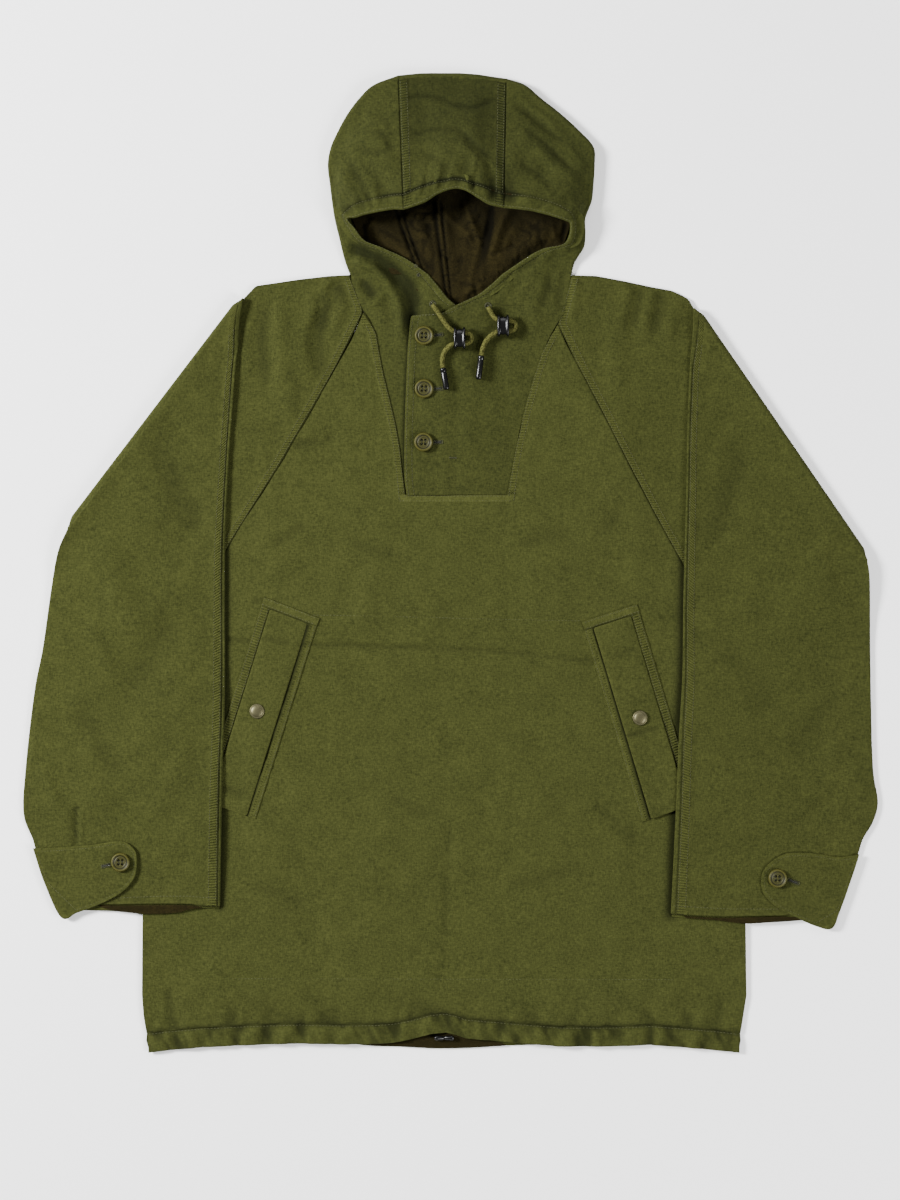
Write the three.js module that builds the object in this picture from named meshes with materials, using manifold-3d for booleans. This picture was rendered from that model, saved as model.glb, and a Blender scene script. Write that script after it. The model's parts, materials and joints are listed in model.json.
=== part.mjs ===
// Anorak smock laid flat, face up, with its raglan sleeves folded over the front.
// Millimetres. +X to the right, +Y towards the hood, +Z up from the table, which is Z = 0.
// The origin is on the table, under the middle of the garment.
import * as THREE from 'three';
import { mergeVertices } from 'three/addons/utils/BufferGeometryUtils.js';
import Module from 'manifold-3d';

const wasm = await Module();
wasm.setup();

// Cloth and its layers
const CLOTH = 1.2; // wall of one layer
const SEAM_GAP = 0.3; // between two pieces sewn edge to edge
const LAYER_GAP = 0.5; // between two layers pressed flat
const STACK_GAP = 0.5; // between a piece and what it lies on
const FLAT_TOP = 2 * CLOTH + LAYER_GAP; // top of two layers pressed flat
const HALF = FLAT_TOP / 2;
const BODY_LOFT = 2.0; // how far the front stands off the back in the middle
const SLEEVE_LOFT = 2.4;
const SWELL = 1.4; // how the cloth round the mouth rises towards its edge
const FOLD_RADIUS = 3.4; // of the sleeve's middle, where it is folded over

// Trimmings
const FLAP_THICK = 1.8;
const TAB_THICK = 2.0;
const LINING = 1.0;
const PLACKET_STEP = CLOTH + STACK_GAP; // the overlap lies one layer higher
const BUTTON_RADIUS = 10;
const BUTTON_HIGH = 3.6;
const SNAP_RADIUS = 7.6;
const SNAP_HIGH = 2.4;
const CORD_RADIUS = 2.6;
const TIP_RADIUS = 3.2;
const LOCK = { thick: 12, long: 23, high: 11, bore: 3.05 };

const COLOURS = {
  canvas: 0x545528,
  sleeve: 0x515327,
  hood: 0x42431c,
  lining: 0x2b260f,
  button: 0x5b5a2c,
  metal: 0x69694e,
  cord: 0x63642f,
  black: 0x121212,
};

// A table's rows become objects with the named columns.
function table(columns, rows) {
  const names = columns.split(' ');
  return rows.map((row) => Object.fromEntries(names.map((name, i) => [name, row[i]])));
}

const lerp = (a, b, t) => a + (b - a) * t;
const clamp = (t, low = 0, high = 1) => Math.min(high, Math.max(low, t));
const smooth = (t) => clamp(t) ** 2 * (3 - 2 * clamp(t));
const mix = (p, q, t) => p.map((value, i) => lerp(value, q[i], t));
const distance = (p, q) => Math.hypot(p[0] - q[0], p[1] - q[1]);

// Value of a column where another column, which rises from row to row, has a given value
function columnAt(rows, name, value, by = 'y') {
  const i = rows.findIndex((row) => value <= row[by]);
  if (i === 0) return rows[0][name];
  if (i < 0) return rows.at(-1)[name];
  const t = (value - rows[i - 1][by]) / (rows[i][by] - rows[i - 1][by]);
  return lerp(rows[i - 1][name], rows[i][name], t);
}

// Point of a polyline at a share of its length
function along(points, share) {
  const lengths = points.slice(1).map((p, i) => distance(points[i], p));
  let left = clamp(share) * lengths.reduce((sum, value) => sum + value, 0);
  for (let i = 0; i < lengths.length; i += 1) {
    if (left <= lengths[i] || i === lengths.length - 1) {
      return mix(points[i], points[i + 1], clamp(left / lengths[i]));
    }
    left -= lengths[i];
  }
  return points[0];
}

function lengthOf(points) {
  return points.slice(1).reduce((sum, p, i) => sum + distance(points[i], p), 0);
}

// The line moved to the left of its direction of travel
function offsetLine(points, gap) {
  return points.map((p, i) => {
    const a = points[Math.max(0, i - 1)];
    const b = points[Math.min(points.length - 1, i + 1)];
    const run = distance(a, b);
    return [p[0] - (gap * (b[1] - a[1])) / run, p[1] + (gap * (b[0] - a[0])) / run];
  });
}

// Distance to a polygon's edge, positive inside it
function insideDistance(polygon, x, y) {
  let nearest = Infinity;
  let inside = false;
  polygon.forEach((p, i) => {
    const q = polygon[(i + 1) % polygon.length];
    const run = [q[0] - p[0], q[1] - p[1]];
    const t = clamp(((x - p[0]) * run[0] + (y - p[1]) * run[1]) / (run[0] ** 2 + run[1] ** 2));
    nearest = Math.min(nearest, Math.hypot(x - p[0] - t * run[0], y - p[1] - t * run[1]));
    const crosses = p[1] > y !== q[1] > y;
    if (crosses && x < p[0] + ((y - p[1]) * run[0]) / run[1]) inside = !inside;
  });
  return inside ? nearest : -nearest;
}

// Height that a list of folds adds: a fold is a soft ridge or trough along a line, tapered at its ends.
function foldHeight(folds, x, y) {
  return folds.reduce((sum, fold) => {
    const run = [fold.x2 - fold.x1, fold.y2 - fold.y1];
    const t = ((x - fold.x1) * run[0] + (y - fold.y1) * run[1]) / (run[0] ** 2 + run[1] ** 2);
    const side = Math.hypot(x - fold.x1 - clamp(t) * run[0], y - fold.y1 - clamp(t) * run[1]);
    const taper = smooth(t * 3 + 0.6) * smooth((1 - t) * 3 + 0.6);
    return sum + fold.high * taper * Math.exp(-((side / fold.wide) ** 2));
  }, 0);
}

// Solids

function toMesh(name, geometry, colour, rough = 0.85, metal = 0) {
  const material = new THREE.MeshStandardMaterial({ color: colour, roughness: rough, metalness: metal });
  const mesh = new THREE.Mesh(geometry, material);
  mesh.name = name;
  return mesh;
}

function toSolid(geometry) {
  const bare = new THREE.BufferGeometry();
  bare.setAttribute('position', geometry.getAttribute('position'));
  if (geometry.index) bare.setIndex(geometry.index);
  const merged = mergeVertices(bare, 1e-4);
  return new wasm.Manifold(
    new wasm.Mesh({
      numProp: 3,
      vertProperties: new Float32Array(merged.getAttribute('position').array),
      triVerts: new Uint32Array(merged.index.array),
    }),
  );
}

function fromSolid(solid) {
  const mesh = solid.getMesh();
  const geometry = new THREE.BufferGeometry();
  geometry.setAttribute('position', new THREE.BufferAttribute(new Float32Array(mesh.vertProperties), 3));
  geometry.setIndex(Array.from(mesh.triVerts));
  return geometry;
}

// A closed wall between two grids of points, which are lists of rows of the same size
function wallBetween(faceA, faceB) {
  const rows = faceA.length;
  const cols = faceA[0].length;
  const positions = [faceA, faceB].flat(3);
  const index = [];
  const at = (face, i, j) => face * rows * cols + i * cols + j;
  const quad = (a, b, c, d) => index.push(a, b, c, a, c, d);
  for (let i = 0; i < rows - 1; i += 1) {
    for (let j = 0; j < cols - 1; j += 1) {
      quad(at(0, i, j), at(0, i + 1, j), at(0, i + 1, j + 1), at(0, i, j + 1));
      quad(at(1, i, j), at(1, i, j + 1), at(1, i + 1, j + 1), at(1, i + 1, j));
    }
  }
  for (let i = 0; i < rows - 1; i += 1) {
    quad(at(0, i, 0), at(1, i, 0), at(1, i + 1, 0), at(0, i + 1, 0));
    quad(at(0, i, cols - 1), at(0, i + 1, cols - 1), at(1, i + 1, cols - 1), at(1, i, cols - 1));
  }
  for (let j = 0; j < cols - 1; j += 1) {
    quad(at(0, 0, j), at(0, 0, j + 1), at(1, 0, j + 1), at(1, 0, j));
    quad(at(0, rows - 1, j), at(1, rows - 1, j), at(1, rows - 1, j + 1), at(0, rows - 1, j + 1));
  }
  return outward(positions, index);
}

// Turns the faces round when they point in
function outward(positions, index) {
  let volume = 0;
  const corner = (i) => new THREE.Vector3().fromArray(positions, 3 * index[i]);
  for (let i = 0; i < index.length; i += 3) {
    volume += corner(i).dot(corner(i + 1).cross(corner(i + 2)));
  }
  const turned = volume < 0 ? index.map((value, i) => index[i - (i % 3) + [0, 2, 1][i % 3]]) : index;
  const geometry = new THREE.BufferGeometry();
  geometry.setAttribute('position', new THREE.BufferAttribute(new Float32Array(positions), 3));
  geometry.setIndex(turned);
  return geometry;
}

// A piece of cloth with an outline seen from above, and a top and a bottom given as heights
function panel(outline, top, bottom, cell) {
  const xs = outline.map((p) => p[0]);
  const ys = outline.map((p) => p[1]);
  const margin = 3;
  const span = (values, size) => {
    const low = Math.min(...values) - margin;
    const high = Math.max(...values) + margin;
    const steps = Math.max(1, Math.round((high - low) / size));
    return Array.from({ length: steps + 1 }, (_, i) => lerp(low, high, i / steps));
  };
  const columns = span(xs, cell[0]);
  const rows = span(ys, cell[1]);
  const face = (height) => rows.map((y) => columns.map((x) => [x, y, height(x, y)]));
  const slab = toSolid(wallBetween(face(top), face(bottom)));
  const shape = new THREE.Shape(outline.map((p) => new THREE.Vector2(...p)));
  const prism = new THREE.ExtrudeGeometry(shape, { depth: 100, bevelEnabled: false });
  prism.translate(0, 0, -20);
  return fromSolid(slab.intersect(toSolid(prism)));
}

// Outlines of the body, as laid on the table

const BODY_SIDES = table('y left right', [
  [-503, -311.1, 296.6],
  [-491, -314.2, 298.7],
  [-478, -313.1, 297.7],
  [-460, -316.2, 300.8],
  [-439, -317.8, 303.9],
  [-362, -317.2, 302.8],
  [-68.5, -317.2, 302.8],
]);
const HEM = table('y x', [
  [-503.2, -311.1],
  [-501.1, -294.6],
  [-497.5, -258.5],
  [-494.9, -207],
  [-493.4, -155.5],
  [-494.4, -114.3],
  [-493.9, -78.3],
  [-492.9, -60.8],
  [-488.7, -39.1],
  [-483.6, -20.6],
  [-482.2, -5.2],
  [-484.6, 5.2],
  [-488.4, 15.5],
  [-490.3, 40.2],
  [-493.4, 75.2],
  [-496.5, 112.3],
  [-496.5, 163.8],
  [-494.9, 205],
  [-498, 246.2],
  [-501.1, 277.1],
  [-503.2, 296.6],
]).map((row) => [row.x, row.y]);
const BACK_HEM = table('x y', [
  [-311.1, -501.1],
  [-207, -493.4],
  [-114.3, -494.4],
  [-83.4, -497],
  [-50.5, -498],
  [-21.6, -499.6],
  [6.2, -499.6],
  [34, -498.4],
  [56.6, -496.8],
  [112.3, -495.4],
  [205, -493.9],
  [296.6, -501.1],
]).map((row) => [row.x, row.y]);
const CASING_DEEP = 20; // depth of the hem's drawcord channel
const NECK_Y = 297.2; // where the hood is sewn on
const NECK_LEFT = [-104.5, 297];
const NECK_RIGHT = [124.5, 296.8];

// Placket and bib, below the hood's V
const BIB_LEFT = table('x y', [
  [-80.3, 244],
  [-76.4, 236],
  [-73.1, 217],
  [-68.6, 194],
  [-61.9, 167],
  [-56.3, 143],
  [-51.8, 118],
  [-48.5, 89],
  [-46.4, 71],
]).map((row) => [row.x, row.y]);
const BIB_RIGHT = table('x y', [
  [103, 236],
  [93.2, 217],
  [85.5, 194],
  [77.8, 167],
  [71.6, 143],
  [65.9, 118],
  [60.8, 89],
  [57.7, 71],
]).map((row) => [row.x, row.y]);
const OVERLAP_EDGE = table('x y', [
  [-45.3, 70.1],
  [-47.4, 85],
  [-47.8, 107.6],
  [-47.2, 145.7],
  [-45.6, 191.1],
  [-44.1, 221.2],
  [-42.2, 242.6],
  [-36.9, 255.2],
  [-17.5, 255.6],
  [-8.2, 257],
]).map((row) => [row.x, row.y]);
const V_BOTTOM = [5.2, 264.7];
const V_EDGES = table('y left right', [
  [264.7, 5.2, 5.2],
  [271, -2.5, 18.1],
  [276.2, -7, 28.8],
  [285.8, -14.5, 41.2],
  [297.2, -24, 53.5],
]);
const RISE = table('y high', [
  [71, 1.0],
  [120, 2.0],
  [180, 3.0],
  [230, 4.6],
  [264.7, 5.9],
  [297.2, 6.1],
]);
const UNDER_EDGE = table('y x', [
  [70, -10],
  [235, -10],
  [252, 0],
  [264, 4],
]);
const OVERLAP_RAMP = 17; // width over which the overlap comes down to the front's level

// Sleeves: the shoulder and underarm lie unfolded, then the sleeve is folded down along foldTop-foldEnd.
// The over-arm and underarm lines are its edges from there to the cuff.
const xy = (rows) => table('x y', rows).map((row) => [row.x, row.y]);
const SLEEVES = {
  left: {
    out: -1,
    neck: [NECK_LEFT, [-102.4, 280], [-95.8, 268], [-89.6, 259]],
    raglan: xy([
      [-102, 230.2],
      [-124.6, 190],
      [-146.8, 151.9],
      [-168.9, 113.8],
      [-191.6, 75.7],
      [-214.2, 42.2],
      [-229.7, 16],
      [-253.4, -17],
      [-284.3, -45.8],
      [-317.2, -68.5],
    ]),
    shoulder: xy([
      [-124.6, 296],
      [-155.5, 292.5],
      [-200.8, 285.8],
    ]),
    foldTop: [-217.3, 275.5],
    foldEnd: [-397.6, 38.6],
    underarm: xy([
      [-322.4, -27.3],
      [-340.9, 8.8],
      [-366.7, 27.3],
    ]),
    overArm: xy([
      [-217, 251],
      [-218.8, 224],
      [-221.8, 194.2],
      [-227.6, 115.9],
      [-230.7, 56.1],
      [-232.3, 0],
      [-232.3, -138.5],
      [-234.8, -217.8],
      [-237.4, -352.8],
    ]),
    underEdge: xy([
      [-404.3, 10.8],
      [-412.2, -31.4],
      [-420.2, -87],
      [-428, -126.2],
      [-434.7, -178.7],
      [-438.5, -217.8],
      [-440.5, -246.7],
      [-438.5, -265.2],
      [-430.5, -283.8],
      [-427, -298],
      [-418.5, -329],
      [-406, -354],
    ]),
    cuffUpper: xy([
      [-255.7, -352.5],
      [-264.7, -350.7],
      [-297.2, -350],
      [-338.9, -350.7],
      [-361.5, -350.7],
    ]),
    cuffLower: xy([
      [-255.7, -354.8],
      [-269.9, -356.9],
      [-283.2, -360],
      [-314.7, -361],
      [-348.1, -357.5],
    ]),
    flapCorner: [-240, -228],
  },
  right: {
    out: 1,
    neck: [NECK_RIGHT, [124, 276], [121.5, 266], [109.6, 247.4]],
    raglan: xy([
      [117.4, 228.1],
      [140.1, 184.9],
      [162.2, 142.7],
      [184.4, 98.4],
      [207, 55.6],
      [226.6, 20.1],
      [239, -2.6],
      [256.5, -27.3],
      [277.1, -50],
      [302.8, -68.5],
    ]),
    shoulder: xy([
      [138, 296.4],
      [149.3, 296],
      [176.1, 291],
      [205, 284.8],
      [227.6, 280.7],
      [244.1, 272.4],
    ]),
    foldTop: [253.4, 265.2],
    foldEnd: [431.6, 5.7],
    underarm: xy([
      [308, -40],
      [330, -17],
      [364, -4],
    ]),
    overArm: xy([
      [247.9, 230.2],
      [245.6, 202.4],
      [243, 135.4],
      [241.9, 75.7],
      [239, -34],
      [237.9, -112.8],
      [234.1, -178.7],
      [231.4, -244.2],
      [226, -361],
    ]),
    underEdge: xy([
      [430.5, -21.1],
      [432, -112.8],
      [433.2, -178.7],
      [435.1, -217.8],
      [439, -239],
      [439, -251.8],
      [433.6, -267.9],
      [424, -283.8],
      [418.5, -301.3],
      [411, -324],
      [399, -352],
    ]),
    cuffUpper: xy([
      [240, -361.6],
      [280, -363.2],
      [341.5, -362],
    ]),
    cuffLower: xy([
      [241, -365.1],
      [273.5, -367.7],
      [305.9, -370.8],
      [363.6, -367.2],
    ]),
    flapCorner: [238, -240],
  },
};
const SHARES = [0, 0.11, 0.24, 0.37, 0.5, 0.63, 0.75, 0.87, 1]; // of the sleeve's width
const CUFF_STEP = 2.6; // how far the under layer shows at the two ends of the cuff
const SEAM_IN = 4.6; // the over-arm and underarm seams lie this far round the sleeve's edges

// Fills in what the tables give: the fold line moved in by the fold's own radius, and the four sides.
function prepareSleeve(sleeve) {
  const run = distance(sleeve.foldTop, sleeve.foldEnd);
  const way = [0, 1].map((k) => (sleeve.foldEnd[k] - sleeve.foldTop[k]) / run);
  const normal = [-sleeve.out * way[1], sleeve.out * way[0]];
  const back = FOLD_RADIUS + HALF;
  const inset = (p) => [p[0] - back * normal[0], p[1] - back * normal[1]];
  const raw = [...sleeve.neck, ...sleeve.raglan];
  const corner = lengthOf(sleeve.neck) / lengthOf(raw);
  const shares = SHARES.map((share, i) => (i === 1 ? corner : share));
  return {
    ...sleeve,
    normal,
    shares,
    seam: shares.map((share) => along(raw, share)),
    foldLine: [inset(sleeve.foldTop), inset(sleeve.foldEnd)],
    shoulderLine: [sleeve.neck[0], ...sleeve.shoulder, inset(sleeve.foldTop)],
    underarmLine: [sleeve.raglan.at(-1), ...sleeve.underarm, inset(sleeve.foldEnd)],
    overArmLine: [inset(sleeve.foldTop), ...sleeve.overArm],
    underEdgeLine: [inset(sleeve.foldEnd), ...sleeve.underEdge],
  };
}
const LEFT = prepareSleeve(SLEEVES.left);
const RIGHT = prepareSleeve(SLEEVES.right);

// Point at a share of the seam, on the straight lines between its own points
function onSeam(sleeve, share) {
  const { shares, seam } = sleeve;
  const i = clamp(shares.findIndex((value) => value >= share), 1, shares.length - 1);
  return mix(seam[i - 1], seam[i], (share - shares[i - 1]) / (shares[i] - shares[i - 1]));
}

// Point of a four-sided patch, from its four sides
function patch(top, bottom, sideA, sideB, s, v) {
  const corners = [top(0), top(1), bottom(0), bottom(1)];
  return [0, 1].map(
    (k) =>
      lerp(top(v)[k], bottom(v)[k], s) +
      lerp(sideA(s)[k], sideB(s)[k], v) -
      lerp(lerp(corners[0][k], corners[1][k], v), lerp(corners[2][k], corners[3][k], v), s),
  );
}
function unfoldedPoint(sleeve, s, v) {
  return patch(
    (t) => onSeam(sleeve, t),
    (t) => mix(...sleeve.foldLine, t),
    (t) => along(sleeve.shoulderLine, t),
    (t) => along(sleeve.underarmLine, t),
    s,
    v,
  );
}
// Point at a share of the unfolded part's width. Close to an edge it is measured square to that edge.
function unfoldedPlace(sleeve, s, v, wide) {
  const inset = Math.min(v, 1 - v) * wide;
  if (s === 0 || s === 1 || inset > 2 * SEAM_IN) return unfoldedPoint(sleeve, s, v);
  const line = v < 0.5 ? sleeve.shoulderLine : sleeve.underarmLine;
  const [a, b] = [along(line, s - 0.06), along(line, s + 0.06)];
  const inward = (v < 0.5 ? 1 : -1) * -sleeve.out;
  const run = distance(a, b);
  const [x, y] = along(line, s);
  return [x + (inward * inset * (a[1] - b[1])) / run, y + (inward * inset * (b[0] - a[0])) / run];
}
// Past s = 1 is the under layer's own hem, which reaches further than the upper one's.
function foldedPoint(sleeve, s, v) {
  const ends = [sleeve.overArm.at(-1), sleeve.underEdge.at(-1)];
  if (s > 1) {
    const lowerEnds = ends.map(([x, y]) => [x, y - CUFF_STEP]);
    return along([lowerEnds[0], ...sleeve.cuffLower, lowerEnds[1]], v);
  }
  const cuffLine = [ends[0], ...sleeve.cuffUpper, ends[1]];
  return patch(
    (t) => mix(...sleeve.foldLine, t),
    (t) => along(cuffLine, t),
    (t) => along(sleeve.overArmLine, t),
    (t) => along(sleeve.underEdgeLine, t),
    s,
    v,
  );
}

// Heights

// Where the front is clear of the sleeves that lie on it
const CLEAR = table('y left right', [
  [-505, -312, 298],
  [-425, -312, 298],
  [-385, -241, 222],
  [-200, -235, 234],
  [0, -233, 240],
  [150, -226, 243],
  [254, -217, 250],
]);
const SHOULDER = table('x y', [
  [-217, 278],
  [-104, 297],
  [126, 297],
  [250, 272],
]);
const FRONT_FOLDS = table('x1 y1 x2 y2 wide high', [
  [-134, 262, -137, 208, 9, -1.6],
  [-194, 268, -196, 180, 9, -1.4],
  [-165, 262, -172, 150, 12, 1.2],
  [211, 282, 209, 235, 8, -1.5],
  [188, 272, 190, 214, 8, -1.3],
  [165, 275, 172, 180, 12, 1.1],
  [-150, -84, -35, -87, 7, -1.2],
  [20, -90, 86, -94, 7, -1.2],
  [86, -94, 150, -101, 7, -1.2],
  [-70, 40, -90, -60, 14, 0.9],
  [80, 40, 96, -70, 14, 0.9],
  [0, -150, -8, -420, 16, -0.8],
  [-60, -160, -84, -380, 20, 0.8],
  [70, -180, 84, -400, 20, 0.8],
  [-150, -300, -130, -460, 18, -0.9],
  [150, -300, 130, -460, 18, -0.9],
  [-240, -400, -236, -470, 12, 1.0],
  [232, -400, 228, -470, 12, 1.0],
]);
function frontTop(x, y) {
  const left = smooth((x - columnAt(CLEAR, 'left', y) - 10) / 45);
  const right = smooth((columnAt(CLEAR, 'right', y) - 10 - x) / 45);
  const shoulder = smooth((columnAt(SHOULDER, 'y', x, 'x') - 4 - y) / 35);
  const free = left * right * shoulder;
  return FLAT_TOP + Math.max(0, BODY_LOFT * free + foldHeight(FRONT_FOLDS, x, y) * free);
}

const bibLeftRows = [...BIB_LEFT, ...LEFT.seam.slice(0, 2)].map(([x, y]) => ({ x, y }));
const bibRightRows = [...BIB_RIGHT, ...RIGHT.seam.slice(0, 2)].map(([x, y]) => ({ x, y }));
bibLeftRows.sort((a, b) => a.y - b.y);
bibRightRows.sort((a, b) => a.y - b.y);
const BIB_FOLDS = table('x1 y1 x2 y2 wide high', [
  [-58, 300, -60, 262, 11, -2.6],
  [-84, 300, -70, 250, 10, 2.2],
  [-30, 292, -46, 236, 8, -2.0],
  [72, 296, 58, 250, 10, -1.8],
  [92, 300, 86, 236, 11, 1.6],
  [40, 236, 60, 170, 12, -1.0],
  [18, 200, 20, 120, 12, 0.9],
]);
// The hood's sides run down into the bib: the cloth rises from the bib's seams to the V's edge.
function bibTop(x, y) {
  const vLeft = columnAt(V_EDGES, 'left', y);
  const vRight = columnAt(V_EDGES, 'right', y);
  const onLeft = x < (vLeft + vRight) / 2;
  const edge = onLeft ? vLeft : vRight;
  const seam = columnAt(onLeft ? bibLeftRows : bibRightRows, 'x', y);
  const f = clamp((x - edge) / (seam - edge));
  const swell = (1 - f ** 2) ** SWELL;
  const base = frontTop(x, y);
  const level = lerp(base, FLAT_TOP, smooth((y - 262) / 30));
  const folds = foldHeight(BIB_FOLDS, x, y) * smooth(f * 5) * smooth((1 - f) * 5);
  return level + Math.max(0, columnAt(RISE, 'high', y) * swell + folds);
}
function overTop(x, y) {
  const start = columnAt(UNDER_EDGE, 'x', y) + 0.8;
  return bibTop(x, y) + PLACKET_STEP * (1 - smooth((x - start) / OVERLAP_RAMP));
}

// Hood

// A row is one section: from its side, where the hood's edge lies on the table, to the mouth's edge.
// edge is the radius of the rounded side, casing the depth of the cord's channel at the mouth.
const HOOD_LEFT = table('sideX sideY mouthX mouthY mouthZ edge casing', [
  [-104, 297.6, -24.3, 297.6, 9, 1.45, 7],
  [-108.7, 310, -46, 312.5, 10, 2.6, 8],
  [-112, 322, -70, 323.5, 12, 3.8, 8],
  [-115, 335, -89, 331, 15, 4.8, 7],
  [-118, 347, -99, 343, 19, 5, 6],
  [-121, 362, -106.5, 352.4, 23, 5, 5],
  [-124.6, 390, -98, 353.6, 25, 5, 11],
  [-126.7, 410, -90, 356, 26.5, 5, 13],
  [-123.6, 428, -81, 357.8, 28, 5, 14],
  [-116.5, 444, -73, 359.3, 29, 5, 14],
  [-106.6, 462, -65, 360.6, 30, 5, 14],
  [-93.7, 479, -59, 361.4, 30.5, 5, 14],
  [-79.6, 492, -54, 361.3, 31, 5, 14],
  [-54.4, 501.8, -48.6, 361, 31.5, 5, 14],
]);
const HOOD_CENTRE = table('sideX sideY mouthX mouthY mouthZ edge casing', [
  [-54.1, 501.8, -48.3, 361, 31.5, 5, 14],
  [-31.9, 504, -34.3, 363.3, 34, 5, 15],
  [-15, 504.2, -20, 368.5, 36, 5, 16],
  [0, 504.2, -8, 375, 37.5, 5, 16],
  [12, 504, 4, 382.7, 38.5, 5, 16],
  [24, 503.2, 16, 378.8, 38, 5, 16],
  [36, 501.5, 27, 371.8, 36.5, 5, 15],
  [46, 500, 38, 366, 34.5, 5, 14],
  [56.7, 498.5, 53.8, 363, 31.5, 5, 14],
]);
const HOOD_RIGHT = table('sideX sideY mouthX mouthY mouthZ edge casing', [
  [57, 498.5, 54.1, 363, 31.5, 5, 14],
  [76.2, 492, 60, 362.6, 31, 5, 14],
  [91.7, 479, 67, 361.9, 30.5, 5, 14],
  [113.3, 462, 75, 361, 30, 5, 14],
  [132.9, 444, 83, 360, 29, 5, 14],
  [146.8, 428, 92, 358, 28, 5, 14],
  [147.8, 410, 102, 355.5, 26.5, 5, 13],
  [146.6, 390, 112, 352.6, 25, 5, 11],
  [144.8, 373, 119, 350.3, 23.5, 5, 8],
  [138.3, 355, 122.5, 347.5, 21.5, 5, 5],
  [138.4, 340, 121.5, 336, 18.5, 5, 6],
  [137, 326, 115, 326.8, 15.5, 5, 7],
  [131.8, 317, 95, 322.8, 13, 4, 8],
  [127, 309, 77, 313, 11, 2.6, 8],
  [124, 297.6, 53.8, 297.6, 9, 1.45, 7],
]);
const HOOD_FOLDS = table('x1 y1 x2 y2 wide high', [
  [-98, 318, -66, 305, 9, 3.5],
  [-76, 305, -50, 300, 8, -2.5],
  [-100, 400, -60, 382, 12, -2.2],
  [-104, 430, -64, 436, 13, 2.0],
  [-30, 470, -22, 400, 11, -1.8],
  [22, 478, 28, 405, 12, 1.8],
  [100, 400, 66, 384, 12, -2.2],
  [124, 420, 74, 440, 13, 2.2],
  [112, 345, 132, 356, 7, -2.4],
  [88, 318, 70, 302, 10, 2.4],
]);
// Height of the hood's top at a distance in from the mouth's edge, along one section
function hoodHeight(row, t) {
  const side = [row.sideX, row.sideY];
  const mouth = [row.mouthX, row.mouthY];
  const reach = distance(side, mouth) - row.edge;
  const [x, y] = mix(mouth, side, t / distance(side, mouth));
  const allowed = smooth((reach - t) / 18) * smooth((row.edge - HALF) / 2.5);
  const swell = (row.mouthZ - 2 * row.edge) * (1 - clamp(t / reach) ** 2) ** SWELL;
  return 2 * row.edge + swell + foldHeight(HOOD_FOLDS, x, y) * allowed;
}
// Point of the hood's top cloth, or below it by a depth square to the cloth
function hoodPoint(row, t, deep) {
  const step = 0.5;
  const slope = (hoodHeight(row, t + step) - hoodHeight(row, t - step)) / (2 * step);
  const tilt = Math.hypot(1, slope);
  const side = [row.sideX, row.sideY];
  const mouth = [row.mouthX, row.mouthY];
  const place = (t + (deep * slope) / tilt) / distance(side, mouth);
  return [...mix(mouth, side, place), hoodHeight(row, t) - deep / tilt];
}
// One section of a hood panel: over the top, round the edge that lies on the table, and back under
function hoodSection(row, inner, deep) {
  const side = [row.sideX, row.sideY];
  const mouth = [row.mouthX, row.mouthY];
  const long = distance(side, mouth);
  const reach = long - row.edge;
  const start = row.casing + 2 * SEAM_GAP;
  const steps = [0, 0.1, 0.22, 0.36, 0.52, 0.68, 0.83, 0.94];
  const over = steps.map((t) => hoodPoint(row, lerp(start, reach, t), deep));
  const round = [90, 55, 25, 0, -30, -60, -90].map((degrees) => {
    const angle = THREE.MathUtils.degToRad(degrees);
    const out = reach + (row.edge - deep) * Math.cos(angle);
    return [...mix(mouth, side, out / long), row.edge + (row.edge - deep) * Math.sin(angle)];
  });
  const last = round.at(-1).slice(0, 2);
  const under = [0.4, 0.75, 1].map((t) => [...mix(last, inner, t), deep]);
  return [...over, ...round, ...under];
}
function hoodPanel(rows, innerAt) {
  const face = (deep) => rows.map((row, i) => hoodSection(row, innerAt(i / (rows.length - 1)), deep));
  return wallBetween(face(0), face(CLOTH));
}

// The cord's channel round the mouth, gathered along the brim
const GATHER = { step: 14, high: 0.9 };
const CHANNEL_THICK = 3.2;
const CHANNEL_STEP = 4.8; // between sections, along the mouth's edge
function channelSection(row, travelled, ends) {
  const phase = (2 * Math.PI * travelled) / GATHER.step + Math.sin(travelled / 23);
  const gather = GATHER.high * ends * Math.sin(phase);
  const at = (share, deep) => hoodPoint(row, share * row.casing, deep);
  return [
    at(0, CHANNEL_THICK * 0.55),
    at(0.1, 0.5),
    at(0.45, -0.5 - gather),
    at(0.8, -gather * 0.4),
    at(1, 0),
    at(1, CLOTH),
    at(0.55, CHANNEL_THICK),
  ];
}
function hoodCasing() {
  const rows = [...HOOD_LEFT.slice(0, -1), ...HOOD_CENTRE, ...HOOD_RIGHT.slice(1)];
  const last = rows.length - 1;
  const sections = [];
  let travelled = 0;
  rows.slice(0, last).forEach((row, i) => {
    const next = rows[i + 1];
    const run = distance([row.mouthX, row.mouthY], [next.mouthX, next.mouthY]);
    const parts = Math.max(1, Math.round(run / CHANNEL_STEP));
    const ends = smooth(i / 3) * smooth((last - i) / 3);
    for (let k = 0; k < parts; k += 1) {
      const names = Object.keys(row);
      const between = Object.fromEntries(names.map((name) => [name, lerp(row[name], next[name], k / parts)]));
      sections.push(channelSection(between, travelled, ends));
      travelled += run / parts;
    }
  });
  sections.push(channelSection(rows[last], travelled, 0));
  return closedTube(sections);
}

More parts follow.
